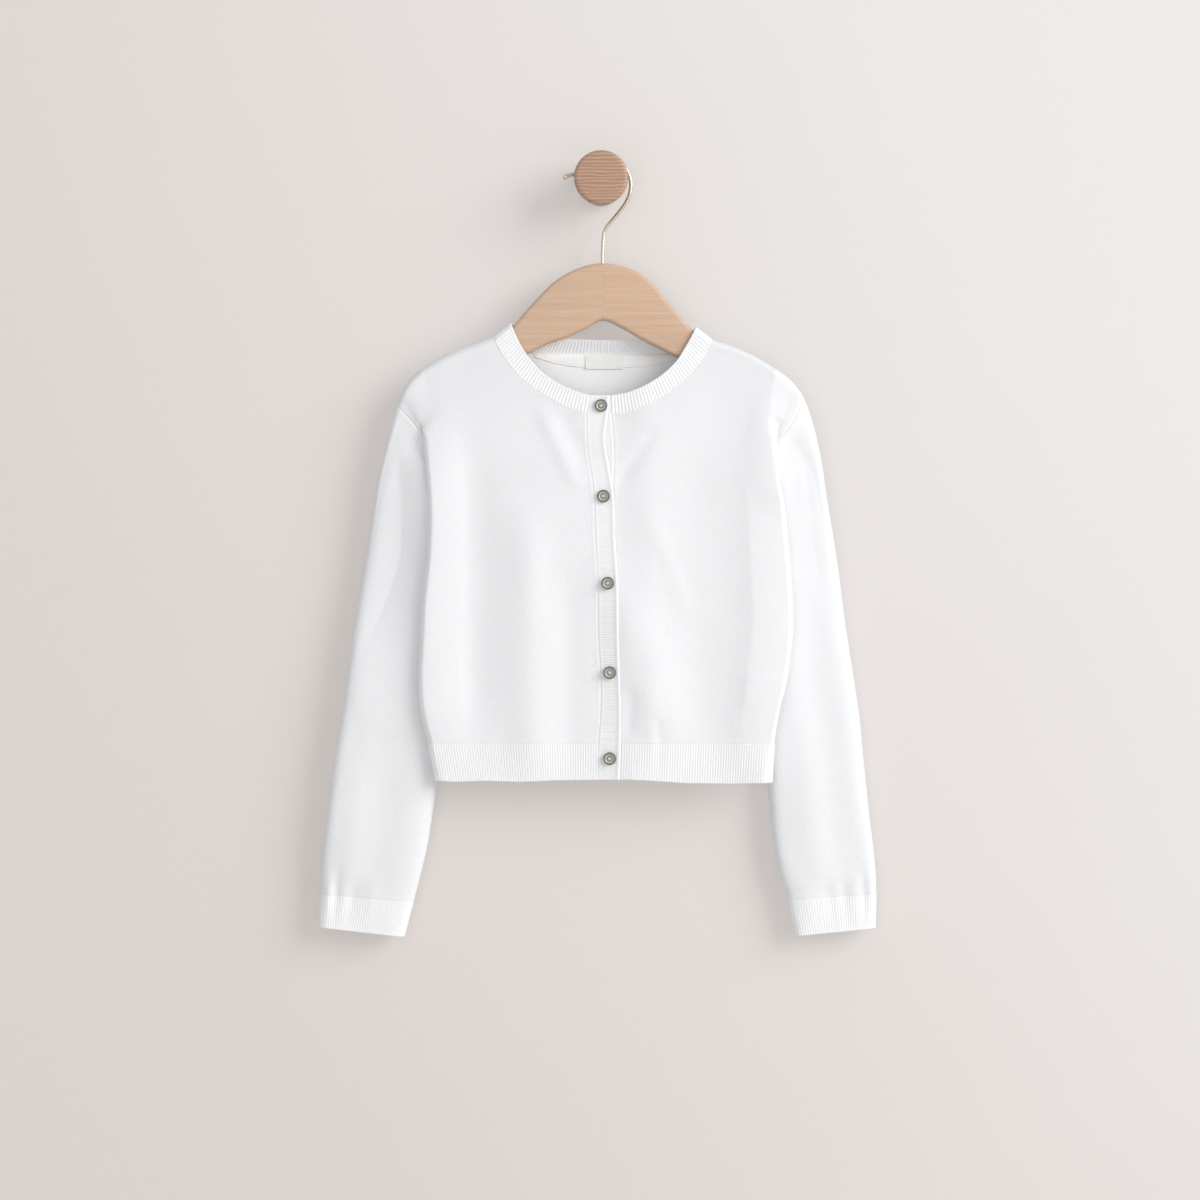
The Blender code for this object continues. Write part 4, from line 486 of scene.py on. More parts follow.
def hump(far, width, middle=0.0):
    """1 at the middle, and falling away softly on both sides."""
    return np.exp(-(((far - middle) / width) ** 2))


def unit(vectors):
    return vectors / np.maximum(np.linalg.norm(vectors, axis=-1, keepdims=True), 1e-9)


def steps_of(places, axis=0):
    """Distances between neighbours."""
    return np.linalg.norm(np.diff(places, axis=axis), axis=-1)


def from_zero(steps):
    return np.concatenate([[0], np.cumsum(steps)])


def hermite(start, end, start_pull, end_pull, u):
    """The place at share u of a curve from start to end that leaves and arrives along the two pulls."""
    return (
        (2 * u**3 - 3 * u**2 + 1) * start
        + (u**3 - 2 * u**2 + u) * start_pull
        + (3 * u**2 - 2 * u**3) * end
        + (u**3 - u**2) * end_pull
    )


def smooth_line(places, parts=16):
    """Dense places on a smooth curve through the given ones."""
    points = np.array(places, float)
    lengths = steps_of(points)[:, None]
    slopes = np.diff(points, axis=0) / lengths
    inner = (slopes[:-1] * lengths[1:] + slopes[1:] * lengths[:-1]) / (lengths[:-1] + lengths[1:])
    tangents = np.vstack([slopes[:1], inner, slopes[-1:]])
    dense = []
    for i, length in enumerate(lengths):
        for u in np.arange(parts) / parts:
            dense.append(hermite(points[i], points[i + 1], tangents[i] * length, tangents[i + 1] * length, u))
    return np.array(dense + [points[-1]])


def read(wanted, at, table):
    """Every column of a table at the wanted places, by straight lines between its rows."""
    return join(*(np.interp(wanted, at, column) for column in table.T))


def along(line, shares):
    """The places at the given shares of a line's length."""
    lengths = from_zero(steps_of(line))
    return read(np.asarray(shares, float) * lengths[-1], lengths, line)


def at_height(line, heights):
    """The places of a line that runs downwards at the given heights, which are in its last column."""
    return read(-np.asarray(heights, float), -line[:, -1], line)


# The entries of a side that hold one place are left out
LINES = {
    side: {name: smooth_line(places) for name, places in table.items() if len(places) > 2}
    for side, table in SIDES.items()
}
BACK_NECK_LINE = smooth_line(BACK_NECK_SEAM)
TO_WALL = np.array([0.0, 1.0, 0.0])


# ---------------------------------------------------------------- depth of the cloth

def creases(folds, x, z):
    """Sum of the soft creases of a table at the places x, z."""
    total = np.zeros(np.broadcast(x, z).shape)
    for x0, z0, x1, z1, width, height in folds:
        length = math.hypot(x1 - x0, z1 - z0)
        dx, dz = (x1 - x0) / length, (z1 - z0) / length
        share = ((x - x0) * dx + (z - z0) * dz) / length
        off = (x - x0) * dz - (z - z0) * dx
        ends = ease((share + CREASE_BEYOND) / CREASE_FADE) * ease((1 + CREASE_BEYOND - share) / CREASE_FADE)
        total = total + height * ends * hump(off, width)
    return total


def hang(x, z, fall):
    """How much of its belly the cloth has, 0 to 1, from where it leaves the hanger."""
    level, slope = HANGER_LINE
    return 1 - np.exp(-np.maximum(0, level - slope * np.abs(x) - z) / fall)


def front_depth(x, z):
    """Y of the middle of the front, away from its edges."""
    full = FRONT_BELLY - SIDE_BELLY_LOSS * (x / HALF_BODY) ** 2
    return FRONT_AT_HANGER - full * hang(x, z, FRONT_FALL) - creases(FRONT_FOLDS, x, z)


def back_depth(x, z):
    """Y of the middle of the back, away from its edges."""
    return BACK_AT_HANGER + BACK_BELLY * hang(x, z, BACK_FALL) + BACK_CREASES * creases(BACK_FOLDS, x, z)


def with_depth(side, flat):
    """Turns places x, z of the front into x, y, z. The right front steps back to pass under the top band."""
    x, z = flat[..., 0], flat[..., 1]
    y = front_depth(x, z)
    if side == "right":
        edge = at_height(LINES[side]["band_seam"], z)[..., 0]
        y = y + BAND_LAP * (1 - ease((x - edge) / LAP_REACH))
    return join(x, y, z)


def turn_over(places, top):
    """Rounds the cloth over the hanger, from the ridge at the top row to its full depth a turn below it."""
    drop = np.linalg.norm((places - top)[..., [0, 2]], axis=-1)
    share = np.sqrt(1 - (1 - np.minimum(1, drop / RIDGE_TURN)) ** 2)
    rounded = places.copy()
    rounded[..., 1] = between(top[..., 1], places[..., 1], share)
    return rounded


def patch(left, right, top, bottom, columns):
    """Coons patch: a grid of places between four edge lines, with a row for each of ROWS."""
    t = ROWS[:, None, None]
    s = columns[None, :, None]
    sides = (1 - s) * left[:, None] + s * right[:, None]
    ends = (1 - t) * top[None] + t * bottom[None]
    corners = (1 - s) * ((1 - t) * top[0] + t * bottom[0]) + s * ((1 - t) * top[-1] + t * bottom[-1])
    return sides + ends - corners


# ---------------------------------------------------------------- panels

def split_rows(first, second, meet):
    """Places on the first line for ROWS up to the meeting row, and on the second line below it."""
    upper = along(first, np.minimum(ROWS, meet) / meet)
    lower = along(second, (np.maximum(ROWS, meet) - meet) / (1 - meet))
    return np.where((ROWS <= meet)[:, None], upper, lower)


def below(line, height):
    """The part of a line from a height down to the hem rib."""
    inside = (line[:, -1] < height) & (line[:, -1] > RIB_TOP_Z)
    return np.vstack([at_height(line, [height]), line[inside], at_height(line, [RIB_TOP_Z])])


def guide(side, upper, lower):
    """For each row a place on one line above the underarm, and on another below it."""
    line = LINES[side][upper]
    above = np.vstack([line[line[:, -1] > UNDERARM_Z], at_height(line, [UNDERARM_Z])])
    return split_rows(above, below(LINES[side][lower], UNDERARM_Z), UNDERARM_ROW)


def fold_closed(fold):
    return ease((FOLD_OPEN_Z - fold[:, 2:]) / FOLD_CLOSES_IN)


def fold_curve(knee, fold, seam):
    """Columns from the knee round the side fold to the seam. The fold is closed well below the tip."""
    folded = fold_closed(fold)
    out = unit((fold - knee) * [1, 0, 1])
    at_fold = unit((1 - folded) * unit(seam - knee) + folded * TO_WALL)
    at_seam = unit((1 - folded) * unit(seam - fold) + folded * TO_WALL)
    first = np.linalg.norm(fold - knee, axis=1, keepdims=True)
    second = np.linalg.norm(seam - fold, axis=1, keepdims=True)
    halves = (knee, fold, out * first, at_fold * first), (fold, seam, at_fold * second, at_seam * second)
    half = [int(share > 0.5) for share in FOLD_COLUMNS]
    return np.stack([hermite(*halves[k], share * 2 - k) for k, share in zip(half, FOLD_COLUMNS)], axis=1)


def front_grid(side):
    """Middle of a front panel, rows from the shoulder to the hem rib, columns from the centre to the seam."""
    lines, count = LINES[side], len(FRONT_COLUMNS)
    inner = split_rows(lines["neck"], below(lines["band_seam"], 0), NECK_ROW)
    names = ("knee", "knee"), ("fold", "fold"), ("armhole_front", "side_seam")
    knee, fold, seam = (guide(side, *pair) for pair in names)
    top = along(lines["shoulder"], FRONT_COLUMNS)
    bottom = between(inner[-1], knee[-1], FRONT_COLUMNS[:, None])
    layer = with_depth(side, patch(inner, knee, top, bottom, FRONT_COLUMNS))
    grid = np.concatenate([layer, fold_curve(layer[:, -1], fold, seam)], axis=1)
    soften_knee(grid, fold, count - 1)
    ridge = grid[0].copy()
    ridge[:count, 1] = HANGER_PLANE
    ridge[count:, 1] = between(HANGER_PLANE, SHOULDER_TIP_Y, FOLD_COLUMNS)
    return turn_over(grid, ridge)


def soften_knee(grid, fold, knee):
    """Evens the depth across the knee, and over the whole turn where the side fold is still open."""
    column = np.arange(grid.shape[1])[None]
    reach = KNEE_SOFT_OUT + (len(FOLD_COLUMNS) - 2 - KNEE_SOFT_OUT) * (1 - fold_closed(fold))
    before = ease((column - knee + KNEE_SOFT_IN) / KNEE_EASE)
    after = ease((knee + 1 + reach - column) / KNEE_EASE)
    weight = 0.5 * before * after
    gaps = steps_of(grid[..., [0, 2]], 1) + KNEE_LEAST
    near, far = gaps[:, :-1], gaps[:, 1:]
    for _ in range(KNEE_ROUNDS):
        even = (grid[:, :-2, 1] * far + grid[:, 2:, 1] * near) / (near + far)
        grid[:, 1:-1, 1] += weight[:, 1:-1] * (even - grid[:, 1:-1, 1])


def back_grid():
    """Middle of the back panel, rows from the top down, columns from the left seam to the right."""
    tops = []
    for lines in LINES.values():
        line = np.vstack([lines["shoulder"], lines["shoulder_end"][1:]])
        flat = along(line[::-1], SHOULDER_COLUMNS)
        tops.append(join(flat[:, 0], between(SHOULDER_TIP_Y, HANGER_PLANE, SHOULDER_COLUMNS), flat[:, 1]))
    top = np.vstack([tops[0], along(BACK_NECK_LINE, BACK_NECK_COLUMNS), tops[1][::-1]])
    left, right = guide("left", "armhole_back", "side_seam"), guide("right", "armhole_back", "side_seam")
    columns = (top[:, 0] - top[0, 0]) / (top[-1, 0] - top[0, 0])
    bottom = between(left[-1], right[-1], columns[:, None])
    flat = patch(*(edge[:, [0, 2]] for edge in (left, right, top, bottom)), columns)
    grid = join(flat[..., 0], np.zeros(flat.shape[:2]), flat[..., 1])
    set_back_depth(grid, left, right)
    return turn_over(grid, top)


def set_back_depth(grid, left, right):
    """Gives the back its depth, drawn to the depth of the seam at each side."""
    grid[..., 1] = back_depth(grid[..., 0], grid[..., 2])
    for edge, column in ((left, 0), (right, -1)):
        reach = between(BACK_DRAWN, BACK_DRAWN_LOW, ease((BACK_DRAWN_Z - edge[:, 2]) / BACK_DRAWN_IN))
        pull = 1 - ease(np.abs(grid[..., 0] - edge[:, :1]) / reach[:, None])
        miss = edge[:, 1] - grid[:, column, 1]
        grid[..., 1] += pull * miss[:, None]


def with_hem_height(row):
    row[:, 2] = np.interp(row[:, 0], *zip(*HEM_EDGE))
    return row


def front_hem_row(side):
    """Lower edge of a front's hem rib."""
    ends = [at_height(LINES[side][name], [HEM_LINE_Z]) for name in ("band_seam", "knee", "fold", "side_seam")]
    layer = with_depth(side, between(ends[0], ends[1], FRONT_COLUMNS[:, None]))
    return with_hem_height(np.vstack([layer, fold_curve(layer[-1:], *ends[2:])[0]]))


def back_hem_row(top_row):
    """Lower edge of the back's hem rib, below the panel's last row."""
    left, right = (at_height(lines["side_seam"], [HEM_LINE_Z]) for lines in LINES.values())
    row = between(left, right, (top_row[:, :1] - top_row[0, 0]) / (top_row[-1, 0] - top_row[0, 0]))
    set_back_depth(row[None], left, right)
    return with_hem_height(row)


# ---------------------------------------------------------------- sleeves

def tube_section(outer, inner, half, shares, face):
    """Places of a flat tube from its outer to its inner fold, on its front (-1) or back (1) face."""
    f = shares[:, None]
    belly = np.sqrt(1 - np.abs(1 - 2 * f) ** SQUARENESS)
    return between(outer, inner, f) + TO_WALL * (face * half) * belly


def sleeve_ends(side, v):
    """Outer and inner fold of the sleeve at share v of its length, x, y, z."""
    outer = along(LINES[side]["sleeve_outer"], [v + OUTER_LEAD * v * (1 - v)])[0]
    inner = along(LINES[side]["sleeve_inner"], [v])[0]
    outer_y = between(SLEEVE_Y, SHOULDER_TIP_Y, 1 - ease(v / SETTLE_TIP))
    rights = CUFF_RIGHTS * ease((v - RIGHTS_FROM) / (1 - RIGHTS_FROM))
    outer_y += SLEEVE_LEANS[side] * ease((v - LEANS_FROM) / LEANS_IN) * (1 - rights)
    inner_y = between(SLEEVE_Y, LINES[side]["side_seam"][0, 1], 1 - ease(v / SETTLE_UNDERARM))
    return np.array([outer[0], outer_y, outer[1]]), np.array([inner[0], inner_y, inner[1]])


def sleeve_relief(side, f, v, face):
    """Gathers and long creases of the sleeve, outwards."""
    total = np.zeros(len(f))
    for middle, height, reach in SLEEVE_GATHERS[side]:
        total += height * ease((v - 1 + reach) / reach) * hump(f, GATHER_WIDTH, middle)
    for middle, height, start, end in SLEEVE_FOLDS[side]:
        ends = ease((v - start) / SLEEVE_FOLD_FADE + 0.5) * ease((end - v) / SLEEVE_FOLD_FADE + 0.5)
        total += height * ends * hump(f, SLEEVE_FOLD_WIDTH, middle)
    return total if face < 0 else BACK_RELIEF * total[::-1]


def meet_body(side, places):
    """How far the front of a sleeve comes forward towards the side fold of the body."""
    x, z = places[:, 0], places[:, 2]
    out = (at_height(LINES[side]["fold"], z)[:, 0] - x) * (1 if side == "left" else -1)
    low = ease((MEET_WIDENS_Z - z) / MEET_WIDENS_IN)
    ramp = np.clip(1 - out / between(MEET_WIDTH, MEET_WIDTH_LOW, low), 0, 1) * ease(1 + out / MEET_UNDER)
    ends = ease((MEET_ENDS[0] - z) / MEET_FADES[0]) * ease((z - MEET_ENDS[1]) / MEET_FADES[1])
    return between(*MEET_HEIGHT[side], low) * ramp * ends


def sleeve_grid(side, front, back):
    """Middle of a sleeve. front and back are the panels' armhole edges, from the tip to the underarm."""
    lengths = from_zero(steps_of(front))
    shares = lengths / lengths[-1]
    start = sleeve_ends(side, 0)
    settle = between(SETTLE_SIDE, SETTLE_TIP, 1 - ease(shares / SHARE_SHOULDER))
    settle -= (SETTLE_SIDE - SETTLE_UNDERARM) * ease(shares / SHARE_SHOULDER - 1)
    grid = []
    for v in SLEEVE_RINGS:
        ends = sleeve_ends(side, v)
        half = between(SLEEVE_HALF, CUFF_HALF, ease((v - NARROWS_FROM) / (1 - NARROWS_FROM)))
        slide = SLEEVE_SLIDE * (1 - (1 - min(1, v / SLIDE_END)) ** 2)
        slid = shares - slide * shares * (1 - shares)
        faces = []
        for edge, face in ((front, -1), (back, 1)):
            miss = edge - tube_section(*start, SLEEVE_HALF, shares, face)
            section = tube_section(*ends, half, slid, face)
            section[:, [0, 2]] += miss[:, [0, 2]] * max(0, 1 - v / SETTLE_TIP) ** 2
            section[:, 1] += miss[:, 1] * (1 - ease(v / settle))
            section[:, 1] += face * sleeve_relief(side, shares, v, face)
            if face < 0:
                section[:, 1] -= meet_body(side, section) * ease(v / MEET_FROM)
            faces.append(section)
        grid.append(np.vstack([faces[0], faces[1][-2:0:-1]]))
    return np.array(grid), slid


def cuff_bottom(side, shares):
    (outer_x, outer_z), (inner_x, inner_z) = SIDES[side]["cuff_outer"], SIDES[side]["cuff_inner"]
    outer = np.array([outer_x, SLEEVE_Y + SLEEVE_LEANS[side] * (1 - CUFF_RIGHTS), outer_z])
    inner = np.array([inner_x, SLEEVE_Y, inner_z])
    front, back = (tube_section(outer, inner, CUFF_HALF, shares, face) for face in (-1, 1))
    return np.vstack([front, back[-2:0:-1]])


# ---------------------------------------------------------------- neckband and bands

def neck_edge_places(side):
    """Free edge of the neckband in front, for the rows of the neck, from the side of the neck to the band."""
    flat = along(LINES[side]["neck_edge"], ROWS[: NECK_AT + 1] / NECK_ROW)
    return turn_over(with_depth(side, flat), np.array([flat[0, 0], HANGER_PLANE, flat[0, 1]]))


def neckband_grid(fronts, back):
    """Two rows: the seam to the fronts and the back, and the free edge. Columns run from band to band."""
    left, right = (fronts[side][: NECK_AT + 1, 0] for side in SIDES)
    seam = [left[::-1], back[0, NECK_FIRST + 1 : NECK_LAST], right]
    share = steps_of(back[0, NECK_FIRST : NECK_LAST + 1]).cumsum()
    middle = along(smooth_line(BACK_NECK_EDGE), share[:-1] / share[-1])
    edge = [neck_edge_places("left")[::-1], middle, neck_edge_places("right")]
    return np.array([np.vstack(seam), np.vstack(edge)])


def band_grids(neckband, fronts, hems):
    """Top band and under band, two long edges each, from the neck to the hem."""
    left, right = (
        np.vstack([neckband[1, end][None], fronts[side][NECK_AT:, 0], hems[side][1, :1]])
        for side, end in (("left", 0), ("right", -1))
    )
    x, z = at_height(smooth_line(BAND_EDGE), left[:, 2])[:, 0], left[:, 2]
    far = join(x, front_depth(x, z), z)
    hidden = right - [UNDER_BAND_WIDTH, 0, 0]
    hidden[:, 1] = front_depth(hidden[:, 0], hidden[:, 2]) + BAND_LAP
    return np.array([left, far]), np.array([hidden, right])


# ---------------------------------------------------------------- walls

def normals_of(grid, around, flip):
    """Unit normals of a grid of places, from its neighbours along and across."""
    if around:
        across = (np.roll(grid, -1, axis=1) - np.roll(grid, 1, axis=1)) / 2
    else:
        across = np.gradient(grid, axis=1)
    return unit(np.cross(np.gradient(grid, axis=0), across)) * (-1 if flip else 1)


def settle_normals(name, normals):
    """Along a shoulder seam the wall stands square to the ridge, so front and back end face to face."""
    spans = {"front": [slice(None)], "back": [slice(0, NECK_FIRST + 1), slice(NECK_LAST, None)]}
    for columns in spans.get(name.split("_")[0], []):
        normals[0, columns, 1] = 0
        normals[0, columns] = unit(normals[0, columns])


def share_normals(pieces):
    """Gives pieces that meet at a seam the same normal at each place they share."""
    keys = [[tuple(place) for place in np.round(piece["grid"], 2).reshape(-1, 3)] for piece in pieces]
    sums = {}
    for piece, own in zip(pieces, keys):
        for key, normal in zip(own, piece["normals"].reshape(-1, 3)):
            sums[key] = sums.get(key, 0) + normal
    for piece, own in zip(pieces, keys):
        piece["normals"] = unit(np.array([sums[key] for key in own])).reshape(piece["grid"].shape)


def cloth_pieces():
    """Grids of every knitted piece with the normals they share at their seams."""
    fronts = {side: front_grid(side) for side in SIDES}
    back = back_grid()
    sleeves, cuffs = {}, {}
    for side, column in (("left", 0), ("right", -1)):
        edges = fronts[side][: UNDERARM_AT + 1, -1], back[: UNDERARM_AT + 1, column]
        sleeves[side], shares = sleeve_grid(side, *edges)
        cuffs[side] = np.array([sleeves[side][-1], cuff_bottom(side, shares)])
    hems = {side: np.array([fronts[side][-1], front_hem_row(side)]) for side in fronts}
    hems["back"] = np.array([back[-1], back_hem_row(back[-1])])
    neckband = neckband_grid(fronts, back)
    grids = {"back": back, "neckband": neckband}
    grids["band_top"], grids["band_under"] = band_grids(neckband, fronts, hems)
    for kind, made in (("front", fronts), ("sleeve", sleeves), ("cuff", cuffs), ("hem", hems)):
        grids.update({f"{kind}_{side}": grid for side, grid in made.items()})
    pieces = {}
    for name, (*_, seams, flip) in PIECES.items():
        if name in grids:
            around = name.startswith(("sleeve", "cuff"))
            normals = normals_of(grids[name], around, flip)
            settle_normals(name, normals)
            pieces[name] = dict(grid=grids[name], normals=normals, seams=seams, around=around)
    share_normals(pieces.values())
    return pieces


# ---------------------------------------------------------------- relief of the cloth

def seam_profile(far):
    """Height of the cloth at a distance from a sewn edge: a groove at the seam and a low welt beside it."""
    return SEAM_WELT * hump(far, WELT_WIDTH, WELT_AT) - SEAM_DIP * hump(far, DIP_WIDTH)


def edge_distances(grid):
    """Distance of each place from the first and last column and from the first and last row."""
    first = np.pad(steps_of(grid, 1).cumsum(axis=1), ((0, 0), (1, 0)))
    top = np.pad(steps_of(grid).cumsum(axis=0), ((1, 0), (0, 0)))
    return {"first": first, "last": first[:, -1:] - first, "top": top, "bottom": top[-1:] - top}


def unevenness(grid):
    """The slight waviness of hand-washed knit, from a few long waves."""
    x, y, z = np.moveaxis(grid, -1, 0)
    total = np.zeros(x.shape)
    for wave_x, wave_z, phase, height in WAVES:
        total += height * np.sin(x * wave_x + z * wave_z + phase + WAVE_DEEP * y)
    return total


def rounded_half(edge, radius, thick):
    """Half the thickness of a wall whose free edge is rounded, from the distances to that edge."""
    inside = np.clip(edge / radius, 0, 1)
    return thick / 2 * np.sqrt(np.clip(1 - (1 - inside) ** 2, THINNEST, 1))


def rib_columns(piece, pitch, per_rib, power):
    """The piece's grid and normals again at even steps, and where each column is in the wave of the ribs."""
    parts = [piece["grid"], piece["normals"]]
    if piece["around"]:
        parts = [np.concatenate([part, part[:, :1]], axis=1) for part in parts]
    at = from_zero(steps_of(parts[0], 1).mean(axis=0))
    steps = max(1, round(at[-1] / pitch)) * per_rib
    wanted = np.arange(steps + (not piece["around"])) * at[-1] / steps
    grid, normals = (np.stack([read(wanted, at, row) for row in part]) for part in parts)
    wave = 0.5 - 0.5 * np.cos(2 * math.pi * np.arange(len(wanted)) / per_rib)
    return grid, unit(normals), wave ** power


def rib_rise(far, wave, kind):
    """Outer face of a rib knit over the middle of its wall. The ribs start at the sewn upper edge."""
    groove, ridge = RIB_RELIEF[kind]
    started = ease((far["top"] + RIB_LEAD) / RIB_START) * ease(far["bottom"] / RIB_END)
    roll = EDGE_ROLL * hump(far["bottom"], EDGE_ROLL_WIDTH, EDGE_ROLL_AT)
    return (groove + ridge) / 2 + roll + (wave - 0.5) * (ridge - groove) * started


def band_rise(far, wave, name, z):
    """Outer face of a button band: edges with a roll each, and fine ribs across the flat middle."""
    ribs_below, rolls = BAND_LOOKS[name]
    rise = np.full(z.shape, BAND_FLAT)
    for edge, (dip, high, at, width) in rolls.items():
        rise += high * hump(far[edge], width, at) - dip * hump(far[edge], DIP_WIDTH)
    middle = ease((np.minimum(far["top"], far["bottom"]) - BAND_RIB_IN) / BAND_RIB_EASE)
    middle = middle * ease((ribs_below - z) / BAND_RIB_TOP)
    return rise + middle * (wave - 0.5) * BAND_RIB_HEIGHT


# ---------------------------------------------------------------- shells

def cells(index):
    """Corners of the cells of a grid of indices."""
    corners = index[:-1, :-1], index[:-1, 1:], index[1:, 1:], index[1:, :-1]
    return join(*(corner.reshape(-1) for corner in corners))


def shell(name, middle, normals, out, back, around, materials, sharp):
    """A closed wall of cloth: its outer skin is out, and its lining back, from a grid of middles."""
    rows, columns = middle.shape[:2]
    index = np.arange(rows * columns).reshape(rows, columns)
    if around:
        index = np.hstack([index, index[:, :1]])
    lining = index + rows * columns
    strips = [(index[0], lining[0]), (lining[-1], index[-1])]
    if not around:
        strips += [(lining[:, 0], index[:, 0]), (index[:, -1], lining[:, -1])]
    rims = [join(one[:-1], two[:-1], two[1:], one[1:]) for one, two in strips]
    faces = np.vstack([cells(index), cells(lining)[:, [0, 3, 2, 1]], *rims])
    mesh = bpy.data.meshes.new(name)
    points = np.vstack([middle + normals * out[..., None], middle - normals * back[..., None]]).reshape(-1, 3)
    mesh.from_pydata((points * MM).tolist(), [], faces.tolist())
    lay_uv(mesh, middle, faces, around)
    kinds = np.zeros(len(faces), np.int32)
    outer = len(cells(index))
    kinds[outer : 2 * outer] = len(materials) - 1
    mesh.polygons.foreach_set("material_index", kinds)
    return finished(name, mesh, sharp, *materials)


def lay_uv(mesh, middle, faces, around):
    """UV in metres along the cloth: u across the columns, v down the rows."""
    rows, columns = middle.shape[:2]
    closed = np.concatenate([middle, middle[:, :1]], axis=1) if around else middle
    u = from_zero(steps_of(closed, 1).mean(axis=0)) * MM
    v = from_zero(steps_of(middle).mean(axis=1)) * MM
    row, column = np.divmod(faces % (rows * columns), columns)
    if around:
        most = column.max(axis=1, keepdims=True)
        column = np.where((most == columns - 1) & (column == 0) & (most - column > 1), columns, column)
    uv = join(u[column], v[row]).astype(np.float32).reshape(-1)
    mesh.uv_layers.new(name="UVMap").data.foreach_set("uv", uv)


def linked(name, data):
    obj = bpy.data.objects.new(name, data)
    bpy.context.scene.collection.objects.link(obj)
    return obj


def turn_outwards(mesh, merge=False):
    """Turns a mesh's faces outwards, after joining what lies in one place if merge is set."""
    work = bmesh.new()
    work.from_mesh(mesh)
    if merge:
        bmesh.ops.remove_doubles(work, verts=work.verts, dist=1e-6)
    bmesh.ops.recalc_face_normals(work, faces=work.faces)
    work.to_mesh(mesh)
    work.free()


def evaluated(obj):
    """The mesh that an object's curve or modifiers make."""
    bpy.context.view_layer.update()
    return bpy.data.meshes.new_from_object(obj.evaluated_get(bpy.context.evaluated_depsgraph_get()))


def finished(name, mesh, sharp, *materials):
    """A smooth-shaded object with its faces turned outwards, and sharp edges above an angle."""
    turn_outwards(mesh)
    mesh.shade_smooth()
    mesh.set_sharp_from_angle(angle=math.radians(sharp))
    for material in materials:
        mesh.materials.append(material)
    return linked(name, mesh)


def show(obj, slot, *nodes):
    """Makes a piece ride on the body, in place of the CAD nodes it stands for."""
    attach(obj, BODY)
    if nodes:
        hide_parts(*nodes)


def show_cloth(obj, slot, name):
    """The same for a cloth, in place of the CAD node of the same name."""
    show(obj, slot, name)


def plain_shell(name, piece, materials):
    """A panel of plain knit with a groove and a welt along each sewn edge."""
    far = edge_distances(piece["grid"])
    out = CLOTH / 2 + sum((seam_profile(far[edge]) for edge in piece["seams"]), unevenness(piece["grid"]))
    back = np.full(out.shape, CLOTH / 2)
    return shell(name, piece["grid"], piece["normals"], out, back, piece["around"], materials, SHARP_PANEL)


def rib_shell(name, piece, kind, skins):
    """A ribbed piece: its ribs run down the rows, and its free edges are rounded."""
    pitch, rows, per_rib, skin = RIB_KINDS[kind]
    grid, normals, wave = rib_columns(piece, pitch, per_rib, RIB_POWER[kind])
    t = rows[:, None, None]
    grid, normals = grid[:1] * (1 - t) + grid[-1:] * t, unit(normals[:1] * (1 - t) + normals[-1:] * t)
    far = edge_distances(grid)
    free = [edge for edge in (TUBE if piece["around"] else ROUND) if edge not in piece["seams"]]
    half = rounded_half(np.minimum.reduce([far[edge] for edge in free]), EDGE_ROUND, CLOTH)
    rise = band_rise(far, wave, name, grid[..., 2]) if kind == "band" else rib_rise(far, wave, kind)
    core = rise + unevenness(grid) - CLOTH / 2
    skin = [skins[skin]]
    return shell("knit_" + name, grid, normals, core + half, half - core, piece["around"], skin, SHARP_RIB)


def build_cloth(skins):
    """Every knitted piece, in place of its solid. Gives the back's grid."""
    pieces = cloth_pieces()
    for name, piece in pieces.items():
        kind = name.split("_")[0]
        if kind in RIB_KINDS:
            show_cloth(rib_shell(name, piece, kind, skins), "rib", name)
        else:
            show_cloth(plain_shell("knit_" + name, piece, [skins["knit"], skins["purl"]]), "knit", name)
    return pieces["back"]["grid"]


# ---------------------------------------------------------------- tape, label and buttons

def back_surface_y(back, places):
    """Depth of the back panel's middle at places near its top, read along the columns of its grid."""
    depths = []
    for x, _, z in places:
        y_and_z = np.array([read(x, row[:, 0], row[:, 1:]) for row in back])
        depths.append(np.interp(-z, -y_and_z[:, 1], y_and_z[:, 0]))
    return np.array(depths)


def on_back(name, back, xs, rows, lift, thick, skin, dip):
    """A strip of even thickness that lies on the inner face of the back, lifted off it."""
    grid = np.array([join(xs, np.zeros(len(xs)), np.broadcast_to(row, len(xs))) for row in rows])
    for row in grid:
        row[:, 1] = back_surface_y(back[:NECK_AT:2], row) - (CLOTH / 2 + SEAM_GAP + lift + thick / 2)
    edge = np.minimum.reduce([*edge_distances(grid).values()])
    half = rounded_half(edge, thick / 2, thick)
    out = half - dip * hump(edge, STITCH_WIDTH, STITCH_IN)
    return shell(name, grid, np.broadcast_to(-TO_WALL, grid.shape), out, half, False, [skin], SHARP_STRIP)


def fine_between(start, end, step):
    """Places from start to end about a step apart, with closer ones at both ends."""
    length = abs(end - start)
    count = max(2, round((length - 2 * FREE_OF_EDGE) / step))
    middle = np.linspace(FREE_OF_EDGE, length - FREE_OF_EDGE, count)
    far = np.concatenate([[0], NEAR_EDGE, middle, length - np.array(NEAR_EDGE[::-1]), [length]])
    return start + (1 if end > start else -1) * far


def build_neck_tape(back, skin):
    """The strip inside the back, just below the neck seam."""
    xs = fine_between(TAPE_EDGE[0][0], TAPE_EDGE[-1][0], TAPE_STEP)
    upper = np.interp(xs, BACK_NECK_LINE[:, 0], BACK_NECK_LINE[:, 2]) - TAPE_BELOW_SEAM
    lower = np.interp(xs, *smooth_line(TAPE_EDGE).T)
    rows = [between(upper, lower, share) for share in fine_between(0.0, TAPE_DEEP, 1.0) / TAPE_DEEP]
    return on_back("neck_tape_cloth", back, xs, rows, TAPE_LIFT, TAPE_THICK, skin, TAPE_DIP)


